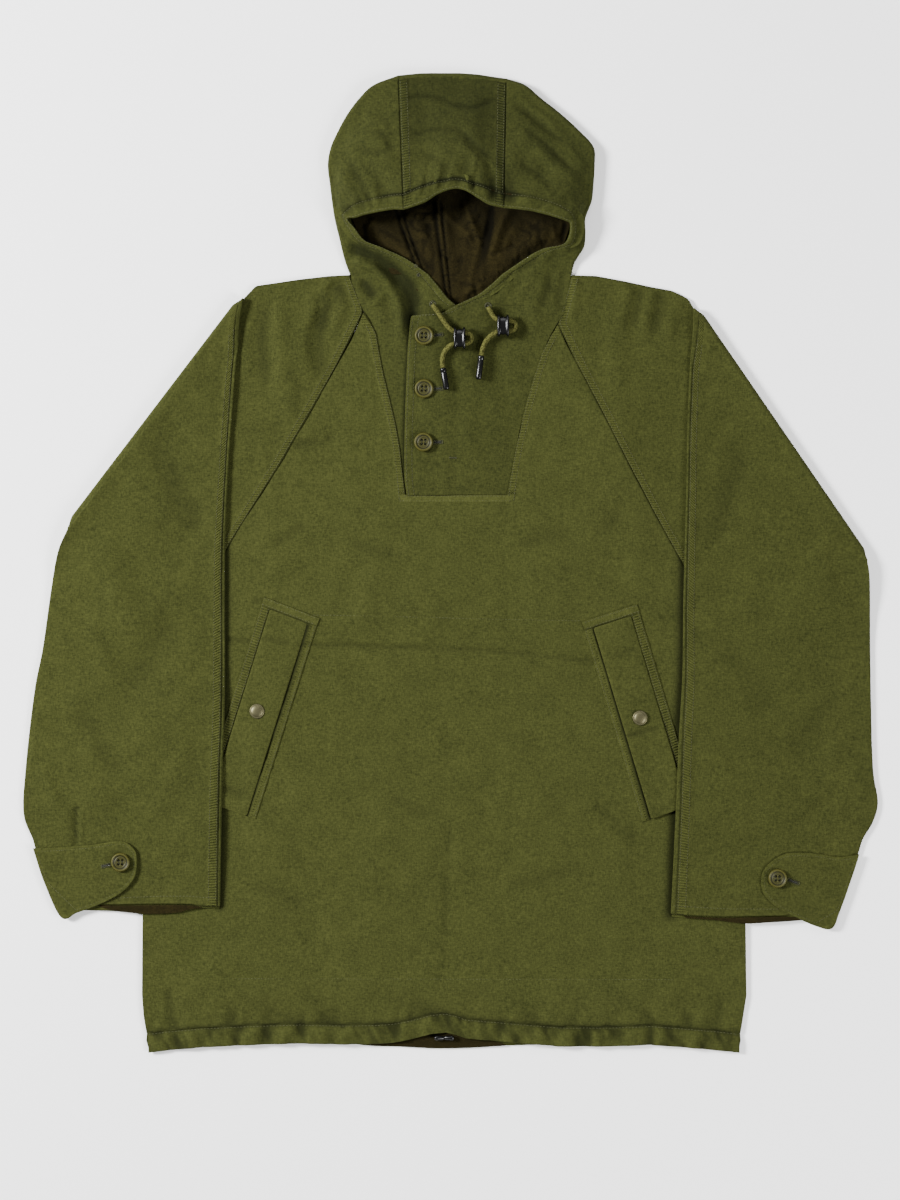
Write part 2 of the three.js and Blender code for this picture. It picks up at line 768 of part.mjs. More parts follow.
// A solid through closed sections, with flat ends
function closedTube(sections) {
  const size = sections[0].length;
  const positions = sections.flat(2);
  const index = [];
  for (let i = 0; i < sections.length - 1; i += 1) {
    for (let j = 0; j < size; j += 1) {
      const a = i * size + j;
      const b = i * size + ((j + 1) % size);
      index.push(a, b, b + size, a, b + size, a + size);
    }
  }
  const last = (sections.length - 1) * size;
  for (let j = 1; j < size - 1; j += 1) {
    index.push(0, j + 1, j, last, last + j, last + j + 1);
  }
  return outward(positions, index);
}

// Lining of the hood, which lies on its back and shows in the mouth, with long folds that fan up from the V
const LINING_OUTLINE = xy([
  [-22, 263],
  [32, 263],
  [66, 284],
  [92, 304],
  [112, 322],
  [122, 345],
  [128, 380],
  [124, 418],
  [96, 452],
  [50, 480],
  [-40, 483],
  [-82, 464],
  [-106, 430],
  [-108, 380],
  [-98, 345],
  [-84, 324],
  [-58, 303],
  [-38, 284],
]);
const LINING_FOLDS = table('x1 y1 x2 y2 wide high', [
  [-4, 278, -78, 352, 11, 4.5],
  [0, 276, -44, 372, 9, 5.5],
  [4, 275, -14, 392, 9, 6],
  [8, 276, 30, 400, 10, 5],
  [14, 278, 64, 372, 10, 5.5],
  [22, 282, 98, 345, 10, 4],
]);
function liningTop(x, y) {
  const grown = smooth((y - 266) / 60);
  return CLOTH + LAYER_GAP + LINING + foldHeight(LINING_FOLDS, x, y) * grown;
}

// Sleeve

const FLAP_LIFT = FLAP_THICK + STACK_GAP;
const SIDE_PLATEAU = 22;
const SIDE_RAMP = 70;
const backSides = (name, low, high) =>
  BODY_SIDES.filter((row) => row.y > low && row.y < high).map((row) => [row[name], row.y]);
const LAID_OUTLINE = [
  ...BACK_HEM,
  ...backSides('right', -502, -69),
  ...RIGHT.underarmLine,
  ...[...RIGHT.shoulderLine].reverse(),
  ...LEFT.shoulderLine,
  ...[...LEFT.underarmLine].reverse(),
  ...backSides('left', -502, -69).reverse(),
];
// Height of what a folded sleeve lies on
function support(sleeve, x, y) {
  const out = -insideDistance(LAID_OUTLINE, x, y);
  const onBody = (FLAT_TOP + STACK_GAP) * (1 - smooth((out - SIDE_PLATEAU) / SIDE_RAMP));
  const away = distance([x, y], sleeve.flapCorner);
  return onBody + FLAP_LIFT * (1 - smooth((away - 62) / 70));
}
const SLEEVE_FOLDS = {
  left: table('x1 y1 x2 y2 wide high', [
    [-300, 120, -262, 40, 16, -1.6],
    [-360, 20, -330, -70, 18, 1.2],
    [-285, -60, -330, -130, 16, -1.2],
    [-380, -150, -340, -215, 15, -1.2],
    [-270, -180, -300, -260, 14, 1.0],
    [-386, -262, -386, -290, 8, -1.2],
  ]),
  right: table('x1 y1 x2 y2 wide high', [
    [300, 120, 268, 30, 16, -1.6],
    [390, -10, 340, -80, 18, 1.2],
    [280, -80, 330, -150, 16, -1.2],
    [400, -140, 350, -190, 15, -1.2],
    [270, -190, 300, -280, 14, 1.0],
  ]),
};
const UNFOLDED_ROWS = [0, 0.25, 0.5, 0.75, 1];
const BEND_DEGREES = [-45, 0, 45];
const FOLDED_ROWS = [0, 0.05, 0.13, 0.23, 0.34, 0.45, 0.56, 0.67, 0.78, 0.87, 0.95, 1];
const LOWER_HEM = 1.1; // the row past s = 1

// One sheet of a sleeve. Its columns go round one edge: the front panel round the over-arm,
// the back panel round the underarm. bank is +1 on the front's side and -1 on the back's.
function sleeveColumns(sleeve, isFront) {
  const across = sleeve.shares.slice(1, -1).map((share) => ({ share, bank: isFront ? 1 : -1 }));
  const turn = [90, 45, 0, -45, -90].map((degrees) => ({ degrees: isFront ? degrees : -degrees }));
  const bank = isFront ? 1 : -1;
  const landing = { inset: isFront ? SEAM_IN : SEAM_IN - 3 * SEAM_GAP, bank: -bank, far: !isFront };
  const start = { inset: isFront ? SEAM_IN : SEAM_IN + SEAM_GAP, bank, far: isFront };
  if (isFront) {
    return [landing, ...turn.reverse().map((c) => ({ ...c, far: false })), ...across, start];
  }
  return [start, ...across, ...turn.map((c) => ({ ...c, far: true })), landing];
}
// In from the edge, and off the middle surface, for the outer face or the inner one
function columnPlace(column, wide, deep, puff) {
  const thick = HALF - deep;
  if ('degrees' in column) {
    const angle = THREE.MathUtils.degToRad(column.degrees);
    const inset = HALF - thick * Math.cos(angle);
    return { v: column.far ? 1 - inset / wide : inset / wide, off: thick * Math.sin(angle) };
  }
  if ('share' in column) {
    const swell = Math.sin(Math.PI * column.share) ** 0.6;
    return { v: column.share, off: column.bank * (thick + (column.bank < 0 ? puff * swell : 0)) };
  }
  return { v: column.far ? 1 - column.inset / wide : column.inset / wide, off: column.bank * thick };
}
function sleeveSheet(sleeve, side, isFront) {
  const columns = sleeveColumns(sleeve, isFront);
  const foldedRows = isFront ? [...FOLDED_ROWS, LOWER_HEM] : FOLDED_ROWS;
  const foldLong = distance(...sleeve.foldLine);
  const topOfFold = HALF + 2 * FOLD_RADIUS;
  const face = (deep) => {
    const rows = [];
    UNFOLDED_ROWS.forEach((s) => {
      const wide = distance(unfoldedPoint(sleeve, s, 0), unfoldedPoint(sleeve, s, 1));
      rows.push(
        columns.map((column) => {
          const { v, off } = columnPlace(column, wide, deep, 0);
          const [x, y] = unfoldedPlace(sleeve, s, v, wide);
          const puff = column.bank > 0 && s < 1 ? frontTop(x, y) - FLAT_TOP : 0;
          return [x, y, HALF + off + puff];
        }),
      );
    });
    BEND_DEGREES.forEach((degrees) => {
      const angle = THREE.MathUtils.degToRad(degrees);
      rows.push(
        columns.map((column) => {
          const { v, off } = columnPlace(column, foldLong, deep, 0);
          const [x, y] = mix(...sleeve.foldLine, v);
          const reach = (FOLD_RADIUS - off) * Math.cos(angle);
          const z = HALF + FOLD_RADIUS + (FOLD_RADIUS - off) * Math.sin(angle);
          return [x + sleeve.normal[0] * reach, y + sleeve.normal[1] * reach, z];
        }),
      );
    });
    foldedRows.forEach((s) => {
      const ends = [foldedPoint(sleeve, s, 0), foldedPoint(sleeve, s, 1)];
      const puffBack = SLEEVE_LOFT * smooth(s / 0.15) * smooth((0.87 - s) / 0.14);
      rows.push(
        columns.map((column) => {
          const { v, off } = columnPlace(column, distance(...ends), deep, puffBack);
          const [x, y] = foldedPoint(sleeve, s, v);
          const [fx, fy] = mix(...sleeve.foldLine, v);
          const near = 1 - smooth(distance([x, y], [fx, fy]) / 60);
          const middle = lerp(support(sleeve, x, y) + HALF, topOfFold, near);
          const pressed = -(HALF - deep);
          const creased = foldHeight(SLEEVE_FOLDS[side], x, y) * smooth(s / 0.15);
          const onTop = 'share' in column && column.bank < 0;
          return [x, y, middle - (onTop ? Math.min(pressed, off - creased) : off)];
        }),
      );
    });
    return rows;
  };
  const outer = face(0);
  const inner = face(CLOTH);
  return wallBetween(outer, inner);
}

// Trimmings

const FLAPS = {
  left: xy([
    [-185.9, -46.9],
    [-147.3, -61.7],
    [-210.1, -259.9],
    [-248.7, -246.7],
  ]),
  right: xy([
    [184.9, -53.8],
    [146.5, -66.4],
    [205.9, -263],
    [244.1, -249.8],
  ]),
};
const SNAPS = { left: [-199.3, -151.9], right: [194.3, -158.7] };
const TABS = {
  left: xy([
    [-430, -293],
    [-409.7, -292.3],
    [-385.8, -290.6],
    [-367.1, -288.9],
    [-348.2, -285.8],
    [-338, -285.1],
    [-329.6, -288.9],
    [-323.5, -296.5],
    [-322.4, -306.8],
    [-323.5, -318.8],
    [-327.7, -327.3],
    [-336.3, -336.7],
    [-350, -345.3],
    [-367.1, -352.8],
    [-384.2, -359],
    [-400.7, -364.3],
    [-418, -329],
  ]),
  right: xy([
    [420.1, -299.1],
    [399.6, -301.7],
    [382.5, -299.1],
    [365.4, -297.4],
    [348.4, -297.4],
    [339.9, -299.6],
    [329.6, -305.9],
    [321.1, -315.4],
    [318.5, -325.6],
    [320.2, -337.5],
    [326.2, -346.1],
    [336.4, -354.6],
    [353.5, -363.1],
    [374, -372.6],
    [391.4, -375.6],
    [400, -357.9],
    [413.3, -320.4],
  ]),
};
const CUFF_BUTTONS = { left: [-339.2, -306.8], right: [335.3, -323.3] };
const PLACKET_BUTTONS = xy([
  [-27.6, 233.8],
  [-27.6, 179.4],
  [-28.2, 124.6],
]);
const TAB_LIFT = 0.8; // the tab's own gap over the sleeve's facets

const onSleeve = (sleeve) => (x, y) => support(sleeve, x, y) + FLAT_TOP;

// Highest point of a surface under a round piece
function restOn(surface, [x, y], radius) {
  const ring = Array.from({ length: 8 }, (_, i) => (i * Math.PI) / 4);
  const heights = ring.map((angle) => surface(x + radius * Math.cos(angle), y + radius * Math.sin(angle)));
  return Math.max(surface(x, y), ...heights);
}

// Round pieces are turned profiles, from the axis out and back to it.
function turned(profile, segments) {
  const points = profile.map(([radius, high]) => new THREE.Vector2(radius, high));
  const lathe = new THREE.LatheGeometry(points, segments);
  lathe.rotateX(Math.PI / 2);
  return fromSolid(toSolid(lathe));
}
const BUTTON_PROFILE = [
  [0, 0],
  [BUTTON_RADIUS - 2.2, 0],
  [BUTTON_RADIUS - 0.4, 1.1],
  [BUTTON_RADIUS, 2.2],
  [BUTTON_RADIUS - 0.8, BUTTON_HIGH],
  [BUTTON_RADIUS - 2.4, BUTTON_HIGH],
  [BUTTON_RADIUS - 3.2, BUTTON_HIGH - 1],
  [0, BUTTON_HIGH - 1.2],
];
const SNAP_PROFILE = [
  [0, 0],
  [SNAP_RADIUS, 0],
  [SNAP_RADIUS, 0.9],
  [SNAP_RADIUS - 1.2, 1.7],
  [SNAP_RADIUS - 4, SNAP_HIGH - 0.1],
  [0, SNAP_HIGH],
];
function place(name, geometry, colour, at, rough, metal) {
  const mesh = toMesh(name, geometry, colour, rough, metal);
  mesh.position.set(...at);
  return mesh;
}
function roundOn(name, profile, segments, surface, at, radius, colour, rough, metal) {
  const z = restOn(surface, at, radius) + SEAM_GAP;
  return place(name, turned(profile, segments), colour, [...at, z], rough, metal);
}

// Drawcords. lift is the cord's height above the cloth it lies on.
const CORDS = {
  left: {
    route: table('x y lift', [
      [-18.7, 265.2, 0],
      [-15, 259.5, 0.4],
      [-11, 253.5, 0.6],
      [-6.5, 247, 0.4],
      [-2, 241.4, 1.2],
      [2.6, 238, 2.6],
      [8.8, 236.4, 3.2],
      [15, 236.2, 3],
      [19.2, 234.6, 2.4],
      [21, 230.8, 2.2],
      [19.2, 227, 2.4],
      [15, 225.4, 3],
      [8.8, 225.2, 3.2],
      [2.6, 224.6, 2.6],
      [-3, 221.4, 0.8],
      [-7, 216, 0.2],
      [-8.8, 209, 0],
      [-8.4, 200.4, 0],
    ]),
    lock: [8.8, 230.7],
    tip: [[-8.3, 200], [-4.4, 178.2]],
  },
  right: {
    route: table('x y lift', [
      [38, 263.2, 0],
      [40.4, 258.4, 0.2],
      [43.4, 253.6, 0.6],
      [47, 250.4, 1.8],
      [51, 249.2, 3],
      [53.5, 249.1, 3.2],
      [60, 249, 3],
      [64.4, 247.4, 2.4],
      [66.3, 243.6, 2.2],
      [64.4, 239.8, 2.4],
      [60, 238.2, 3],
      [53.5, 238.1, 3.2],
      [47, 236.9, 2.4],
      [41, 233.4, 0.8],
      [36, 228, 0.2],
      [32.8, 221, 0],
      [31.2, 213.2, 0],
    ]),
    lock: [53.5, 243.6],
    tip: [[31.1, 212.8], [28.1, 188.8]],
  },
};
const cloth = (x, y) => (y > 256 || x < -46 ? bibTop(x, y) : overTop(x, y));
function cordPath(cord) {
  const points = cord.route.map(({ x, y, lift }) => {
    const z = restOn(cloth, [x, y], CORD_RADIUS + 2) + SEAM_GAP + CORD_RADIUS + lift;
    return new THREE.Vector3(x, y, z);
  });
  return new THREE.CatmullRomCurve3(points);
}
function roundBar(path, radius, sides, steps) {
  const ring = Array.from({ length: sides }, (_, i) => (2 * Math.PI * i) / sides);
  const corners = ring.map((a) => new THREE.Vector2(radius * Math.cos(a), radius * Math.sin(a)));
  const shape = new THREE.Shape(corners);
  const bar = new THREE.ExtrudeGeometry(shape, { steps, bevelEnabled: false, extrudePath: path });
  return fromSolid(toSolid(bar));
}
function drawcord(side) {
  return toMesh(`drawcord_${side}`, roundBar(cordPath(CORDS[side]), CORD_RADIUS, 8, 28), COLOURS.cord);
}
function cordTip(side) {
  const ends = CORDS[side].tip.map((p) => {
    const z = restOn(cloth, p, TIP_RADIUS + 1) + SEAM_GAP + TIP_RADIUS;
    return new THREE.Vector3(...p, z);
  });
  const geometry = roundBar(new THREE.LineCurve3(...ends), TIP_RADIUS, 10, 1);
  return toMesh(`cord_tip_${side}`, geometry, COLOURS.black, 0.35);
}
// The lock is a small rounded block with two holes across it, one for each run of the cord.
function cordLock(side) {
  const cord = CORDS[side];
  const [x, y] = cord.lock;
  const path = cordPath(cord);
  const middle = path.points.find((p) => p.x === x).z;
  const half = LOCK.thick / 2;
  const outline = new THREE.Shape();
  outline.absellipse(0, 0, LOCK.long / 2, LOCK.high / 2, 0, 2 * Math.PI);
  const settings = { depth: LOCK.thick, bevelEnabled: false, curveSegments: 8 };
  const block = new THREE.ExtrudeGeometry(outline, settings);
  block.rotateX(Math.PI / 2).rotateZ(Math.PI / 2).translate(x + half, y, middle);
  let solid = toSolid(upright(block, [x, y, middle]));
  const bore = cord.route.filter((p) => Math.abs(p.x - x) < 12);
  const runs = [bore.filter((p) => p.y > y), bore.filter((p) => p.y < y)];
  runs.forEach((run) => {
    const points = run.map((p) => path.points[cord.route.indexOf(p)]);
    solid = solid.subtract(toSolid(roundBar(new THREE.CatmullRomCurve3(points), LOCK.bore, 10, 6)));
  });
  return toMesh(`cord_lock_${side}`, fromSolid(solid), COLOURS.black, 0.3);
}
// Keeps a block's centre where it is wanted
function upright(geometry, centre) {
  geometry.computeBoundingBox();
  const middle = geometry.boundingBox.getCenter(new THREE.Vector3());
  return geometry.translate(centre[0] - middle.x, centre[1] - middle.y, centre[2] - middle.z);
}

// Hem

const HEM_GAP_BOTTOM = CLOTH + LAYER_GAP;
const RUCHE = { step: 30, high: 1.5 };
const hemRows = HEM.map(([x, y]) => ({ x, y }));
function ruche(x, y) {
  const hem = columnAt(hemRows, 'y', x, 'x');
  const share = clamp((y - hem) / CASING_DEEP);
  const phase = (2 * Math.PI * x) / RUCHE.step + 1.4 * Math.sin(x / 61) + 0.7 * (1 - share);
  const swell = Math.sin(Math.PI * clamp(share * 0.86 + 0.14)) ** 0.6;
  return swell * (0.5 + RUCHE.high * (0.5 + 0.5 * Math.sin(phase)));
}
const hemCasingTop = (x, y) => frontTop(x, y) + ruche(x, y);

// The pieces

function buildBody() {
  const channel = HEM.map(([x, y]) => [x, y + CASING_DEEP]);
  const sideOf = (name, low) => [...backSides(name, low, -69)];
  const raglanRight = offsetLine(RIGHT.seam, -SEAM_GAP).reverse();
  const raglanLeft = offsetLine(LEFT.seam, SEAM_GAP);
  const back = [
    ...BACK_HEM,
    ...sideOf('right', -502),
    ...raglanRight.slice(0, -1),
    [RIGHT.seam[0][0] - SEAM_GAP, NECK_Y - SEAM_GAP],
    [LEFT.seam[0][0] + SEAM_GAP, NECK_Y - SEAM_GAP],
    ...raglanLeft.slice(1),
    ...sideOf('left', -502).reverse(),
  ];
  const front = [
    ...channel.map(([x, y]) => [x, y + SEAM_GAP]),
    ...sideOf('right', -477),
    ...raglanRight.slice(0, -1).filter(([, y]) => y < RIGHT.seam[1][1] - 1),
    ...BIB_RIGHT,
    ...[...BIB_LEFT].reverse(),
    ...raglanLeft.filter(([, y]) => y < LEFT.seam[1][1] - 1),
    ...sideOf('left', -477).reverse(),
  ];
  const casing = [...HEM, ...[...channel].reverse()];
  return [
    toMesh('back', panel(back, () => CLOTH, () => 0, [200, 200]), COLOURS.canvas),
    toMesh('front', panel(front, frontTop, (x, y) => frontTop(x, y) - CLOTH, [31, 36]), COLOURS.canvas),
    toMesh('hem_casing', panel(casing, hemCasingTop, () => HEM_GAP_BOTTOM, [8, 15]), COLOURS.canvas),
  ];
}

function buildHemTrim() {
  const shown = (x) => x > -100 && x < 62;
  const upper = HEM.filter(([x]) => shown(x)).map(([x, y]) => [x, y - 0.5]);
  const lower = BACK_HEM.filter(([x]) => shown(x)).map(([x, y]) => [x, y + 1]);
  const strip = [...lower, ...upper.reverse()];
  const base = CLOTH + SEAM_GAP;
  const toggle = new THREE.CapsuleGeometry(2.6, 15, 4, 10);
  toggle.rotateZ(Math.PI / 2);
  return [
    toMesh('hem_lining', panel(strip, () => base + LINING, () => base, [40, 40]), COLOURS.lining),
    place('hem_toggle', toggle, COLOURS.black, [-7, -487.8, base + LINING + SEAM_GAP + 2.6], 0.4),
  ];
}

function buildBib() {
  const seamLeft = [...LEFT.seam.slice(0, 2), ...BIB_LEFT];
  const seamRight = [...RIGHT.seam.slice(0, 2), ...BIB_RIGHT];
  const left = offsetLine(seamLeft, SEAM_GAP);
  const right = offsetLine(seamRight, -SEAM_GAP);
  const edge = UNDER_EDGE.map(({ x, y }) => [x, y]);
  const vLeft = V_EDGES.map((row) => [row.left, row.y]);
  const vRight = V_EDGES.map((row) => [row.right, row.y]);
  const bottom = 71 + SEAM_GAP;
  const trim = (points) => points.map(([x, y]) => [x, clamp(y, bottom, NECK_Y)]);
  const under = trim([...left, ...edge, ...vLeft.slice(1)]);
  const over = trim([...OVERLAP_EDGE, V_BOTTOM, ...vRight.slice(1), ...right]);
  const overBottom = (x, y) => overTop(x, y) - CLOTH;
  return [
    toMesh('bib_under', panel(under, bibTop, (x, y) => bibTop(x, y) - CLOTH, [13, 22]), COLOURS.hood),
    toMesh('bib_over', panel(over, overTop, overBottom, [13, 22]), COLOURS.canvas),
  ];
}

function buildHood() {
  const crown = [HOOD_CENTRE[0].sideX, HOOD_CENTRE.at(-1).sideX];
  const seamLow = [-50, 54];
  const leftInner = (t) => [lerp(seamLow[0], crown[0], t) - SEAM_GAP, lerp(297.6, 492, t)];
  const centreInner = (t) => [lerp(...seamLow, t), 297.6];
  const rightInner = (t) => [lerp(crown[1], seamLow[1], t) + SEAM_GAP, lerp(489, 297.6, t)];
  const liningBottom = (x, y) => liningTop(x, y) - LINING;
  return [
    toMesh('hood_left', hoodPanel(HOOD_LEFT, leftInner), COLOURS.hood),
    toMesh('hood_centre', hoodPanel(HOOD_CENTRE, centreInner), COLOURS.hood),
    toMesh('hood_right', hoodPanel(HOOD_RIGHT, rightInner), COLOURS.hood),
    toMesh('hood_casing', hoodCasing(), COLOURS.hood),
    toMesh('hood_lining', panel(LINING_OUTLINE, liningTop, liningBottom, [12, 24]), COLOURS.lining),
  ];
}

function buildSleeve(sleeve, side) {
  return [
    toMesh(`sleeve_${side}_front`, sleeveSheet(sleeve, side, true), COLOURS.sleeve),
    toMesh(`sleeve_${side}_back`, sleeveSheet(sleeve, side, false), COLOURS.sleeve),
  ];
}

function buildPocket(side) {
  const base = (x, y) => frontTop(x, y) + STACK_GAP;
  const top = (x, y) => base(x, y) + FLAP_THICK;
  return [
    toMesh(`pocket_flap_${side}`, panel(FLAPS[side], top, base, [30, 32]), COLOURS.canvas),
    roundOn(`snap_${side}`, SNAP_PROFILE, 14, top, SNAPS[side], SNAP_RADIUS, COLOURS.metal, 0.45, 0.8),
  ];
}

function buildCuff(sleeve, side) {
  const base = (x, y) => onSleeve(sleeve)(x, y) + TAB_LIFT;
  const top = (x, y) => base(x, y) + TAB_THICK;
  const inside = (x, y) => support(sleeve, x, y) + CLOTH + SEAM_GAP;
  const insideTop = (x, y) => inside(x, y) + LINING;
  const upper = sleeve.cuffUpper.map(([x, y]) => [x, y - 1.2]);
  const lower = sleeve.cuffLower.map(([x, y]) => [x, y + 0.8]);
  const strip = [...upper, ...lower.reverse()];
  const at = CUFF_BUTTONS[side];
  return [
    toMesh(`cuff_tab_${side}`, panel(TABS[side], top, base, [22, 30]), COLOURS.sleeve),
    toMesh(`cuff_lining_${side}`, panel(strip, insideTop, inside, [20, 20]), COLOURS.lining),
    roundOn(`cuff_button_${side}`, BUTTON_PROFILE, 14, top, at, BUTTON_RADIUS, COLOURS.button, 0.5),
  ];
}

function buildPlacketButtons() {
  return PLACKET_BUTTONS.map((at, i) =>
    roundOn(`placket_button_${i + 1}`, BUTTON_PROFILE, 14, overTop, at, BUTTON_RADIUS, COLOURS.button, 0.5),
  );
}

const smock = new THREE.Group();
smock.add(
  ...buildBody(),
  ...buildHemTrim(),
  ...buildBib(),
  ...buildHood(),
  ...buildSleeve(LEFT, 'left'),
  ...buildSleeve(RIGHT, 'right'),
  ...buildPocket('left'),
  ...buildPocket('right'),
  ...buildCuff(LEFT, 'left'),
  ...buildCuff(RIGHT, 'right'),
  ...buildPlacketButtons(),
  ...['left', 'right'].flatMap((side) => [drawcord(side), cordLock(side), cordTip(side)]),
);

export default smock;
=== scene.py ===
"""Looks of an anorak smock laid flat, face up, with its raglan sleeves folded over the front.

Lengths are in millimetres up to the point where a mesh is made, which is in metres.
+X is to the right, +Y towards the hood, +Z up from the table.
"""

import json
import math

import bmesh
import bpy
import numpy as np
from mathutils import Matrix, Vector
from mathutils.geometry import delaunay_2d_cdt

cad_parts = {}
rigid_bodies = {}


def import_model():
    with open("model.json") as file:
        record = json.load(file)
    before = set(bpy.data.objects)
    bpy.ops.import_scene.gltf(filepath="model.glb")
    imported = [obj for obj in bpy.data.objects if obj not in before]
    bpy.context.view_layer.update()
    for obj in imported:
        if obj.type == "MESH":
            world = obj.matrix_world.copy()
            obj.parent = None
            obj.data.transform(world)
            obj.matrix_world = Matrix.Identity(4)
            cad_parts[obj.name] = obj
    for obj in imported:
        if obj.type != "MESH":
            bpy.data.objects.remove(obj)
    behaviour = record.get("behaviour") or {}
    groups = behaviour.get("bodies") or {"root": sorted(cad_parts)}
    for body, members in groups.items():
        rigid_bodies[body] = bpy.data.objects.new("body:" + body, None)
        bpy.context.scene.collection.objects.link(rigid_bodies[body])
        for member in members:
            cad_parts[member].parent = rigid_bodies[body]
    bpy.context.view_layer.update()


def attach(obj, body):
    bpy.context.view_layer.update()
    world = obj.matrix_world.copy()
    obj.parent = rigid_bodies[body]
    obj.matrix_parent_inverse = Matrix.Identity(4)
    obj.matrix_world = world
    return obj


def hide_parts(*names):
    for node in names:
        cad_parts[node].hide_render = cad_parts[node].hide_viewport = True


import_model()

MM = 0.001

# Cloth and its layers
CLOTH = 1.2
LAYER_GAP = 0.5
STACK_GAP = 0.5
SEAM_GAP = 0.3
FLAT_TOP = 2 * CLOTH + LAYER_GAP
HALF = FLAT_TOP / 2
BODY_LOFT = 2.0
SLEEVE_LOFT = 2.4
SWELL = 1.4
FOLD_RADIUS = 3.4
FLAP_THICK = 1.8
TAB_THICK = 2.0
TAB_LIFT = 0.8
PLACKET_STEP = CLOTH + STACK_GAP
OVERLAP_RAMP = 17
CUFF_STEP = 2.6
CASING_DEEP = 20
SEAM_LINE = 0.7  # half width of the dark line in a seam
SIDE_PLATEAU = 22
SIDE_RAMP = 70

# Trimmings
BUTTON_RADIUS = 10
BUTTON_HIGH = 3.6
SNAP_RADIUS = 7.6
SNAP_HIGH = 2.4
CORD_RADIUS = 2.6
TIP_RADIUS = 3.2
LOCK = {"thick": 12, "long": 23, "high": 11}

# Camera, straight above the middle of the picture
VIEW_CENTRE = (-0.001, -0.0376)
VIEW_HIGH = 1.236
CAMERA_HIGH = 3.0
SENSOR = 36.0
TABLE_HALF = 30.0  # metres
TABLE_GAP = 0.0008


# Numbers


def table(columns, rows):
    """Rows of numbers as arrays under the columns' names"""
    data = np.array(rows, float)
    return {name: data[:, i] for i, name in enumerate(columns.split())}


def folds(rows):
    """Straight folds: where each starts and ends, its half width and its height"""
    return table("x1 y1 x2 y2 wide high", rows)


def look(rows, name, at, by="y"):
    """Value of a table's column where another column has a given value"""
    return np.interp(at, rows[by], rows[name])


def clamp(t, low=0.0, high=1.0):
    """Held between two values"""
    return np.minimum(high, np.maximum(low, t))


def smooth(t):
    """From 0 to 1 with soft ends"""
    t = clamp(t)
    return t * t * (3 - 2 * t)


def lerp(a, b, t):
    return a + (b - a) * t


def box(t, low, high, soft):
    """One between low and high, zero outside, with soft sides"""
    return smooth((t - low) / soft + 0.5) * smooth((high - t) / soft + 0.5)


LATTICE = np.random.default_rng(11).random((256, 256))


def noise(x, y, size, seed=0):
    """Smooth noise from -0.5 to 0.5, with features of the given size"""
    u = x / size + 17.3 * seed
    v = y / size + 9.1 * seed
    i, j = np.floor(u).astype(int), np.floor(v).astype(int)
    fu, fv = smooth(u - i), smooth(v - j)

    def at(a, b):
        return LATTICE[a % 256, b % 256]

    low = lerp(at(i, j), at(i + 1, j), fu)
    high = lerp(at(i, j + 1), at(i + 1, j + 1), fu)
    return lerp(low, high, fv) - 0.5


def peak(d, wide):
    """One where d is zero, falling smoothly away from it"""
    return np.exp(-((d / wide) ** 2))


def ridges(x, y, size, seed=0):
    """Thin crooked ridges, from 0 to 1"""
    wander = size * 0.5
    bend = noise(x, y, size * 1.7, seed + 5) * wander
    n = noise(x + bend, y - bend, size, seed)
    return peak(n, 0.09)


def fold_height(rows, x, y):
    """Height that straight folds add at a place"""
    total = np.zeros(np.broadcast(x, y).shape)
    for x1, y1, x2, y2, wide, high in zip(*rows.values()):
        run = (x2 - x1, y2 - y1)
        t = ((x - x1) * run[0] + (y - y1) * run[1]) / (run[0] ** 2 + run[1] ** 2)
        side = np.hypot(x - x1 - clamp(t) * run[0], y - y1 - clamp(t) * run[1])
        taper = smooth(t * 3 + 0.6) * smooth((1 - t) * 3 + 0.6)
        total = total + high * taper * peak(side, wide)
    return total


def hollow(height, depth=5.0, most=0.6):
    """Shade for the bottoms of folds: most where they are as deep as depth"""
    return most * smooth(-height / depth)


def kept_above(height, low, soft=0.35):
    """The height, held softly above a lowest value"""
    return low + np.logaddexp(0, (height - low) / soft) * soft


def path_folds(paths, x, y):
    """Folds along bent lines, each (points, wide, high)"""
    total = np.zeros(np.broadcast(x, y).shape)
    for points, wide, high in paths:
        s, d = near_line(points, x, y)
        long = lengths(points)[-1]
        taper = smooth(s / long * 4 + 0.3) * smooth((long - s) / long * 4 + 0.3)
        total = total + high * taper * peak(d, wide)
    return total


def running(points):
    """Distance to each point along a line in space"""
    return np.concatenate([[0], np.cumsum(np.linalg.norm(np.diff(points, axis=0), axis=1))])


def lengths(points):
    """Distance to each point along a line seen from above"""
    steps = np.hypot(*np.diff(np.asarray(points, float)[:, :2], axis=0).T)
    return np.concatenate([[0], np.cumsum(steps)])


def along(points, share):
    """Points of a polyline at shares of its length, (..., 2)"""
    points = np.asarray(points, float)
    run = lengths(points)
    at = np.asarray(share, float) * run[-1]
    return np.stack([np.interp(at, run, points[:, k]) for k in (0, 1)], -1)


def padded(points):
    """The points with one more at each end, straight on"""
    return np.vstack([2 * points[0] - points[1], points, 2 * points[-1] - points[-2]])


def curve(p0, p1, p2, p3, t):
    """Point at t between p1 and p2, on a smooth curve through four points"""
    b = 2 * p0 - 5 * p1 + 4 * p2 - p3
    c = 3 * p1 - p0 - 3 * p2 + p3
    return (2 * p1 + (p2 - p0) * t + b * t * t + c * t**3) / 2


def rounded(points, step=2.5):
    """The polyline as a smooth curve through its points, in short steps"""
    points = np.asarray(points, float)
    wider = padded(points)
    out = []
    for i in range(len(points) - 1):
        count = max(1, int(round(np.hypot(*(points[i + 1] - points[i])[:2]) / step)))
        out += [curve(*wider[i : i + 4], t) for t in np.arange(count) / count]
    return np.array(out + [points[-1]])


# Outlines, as laid on the table

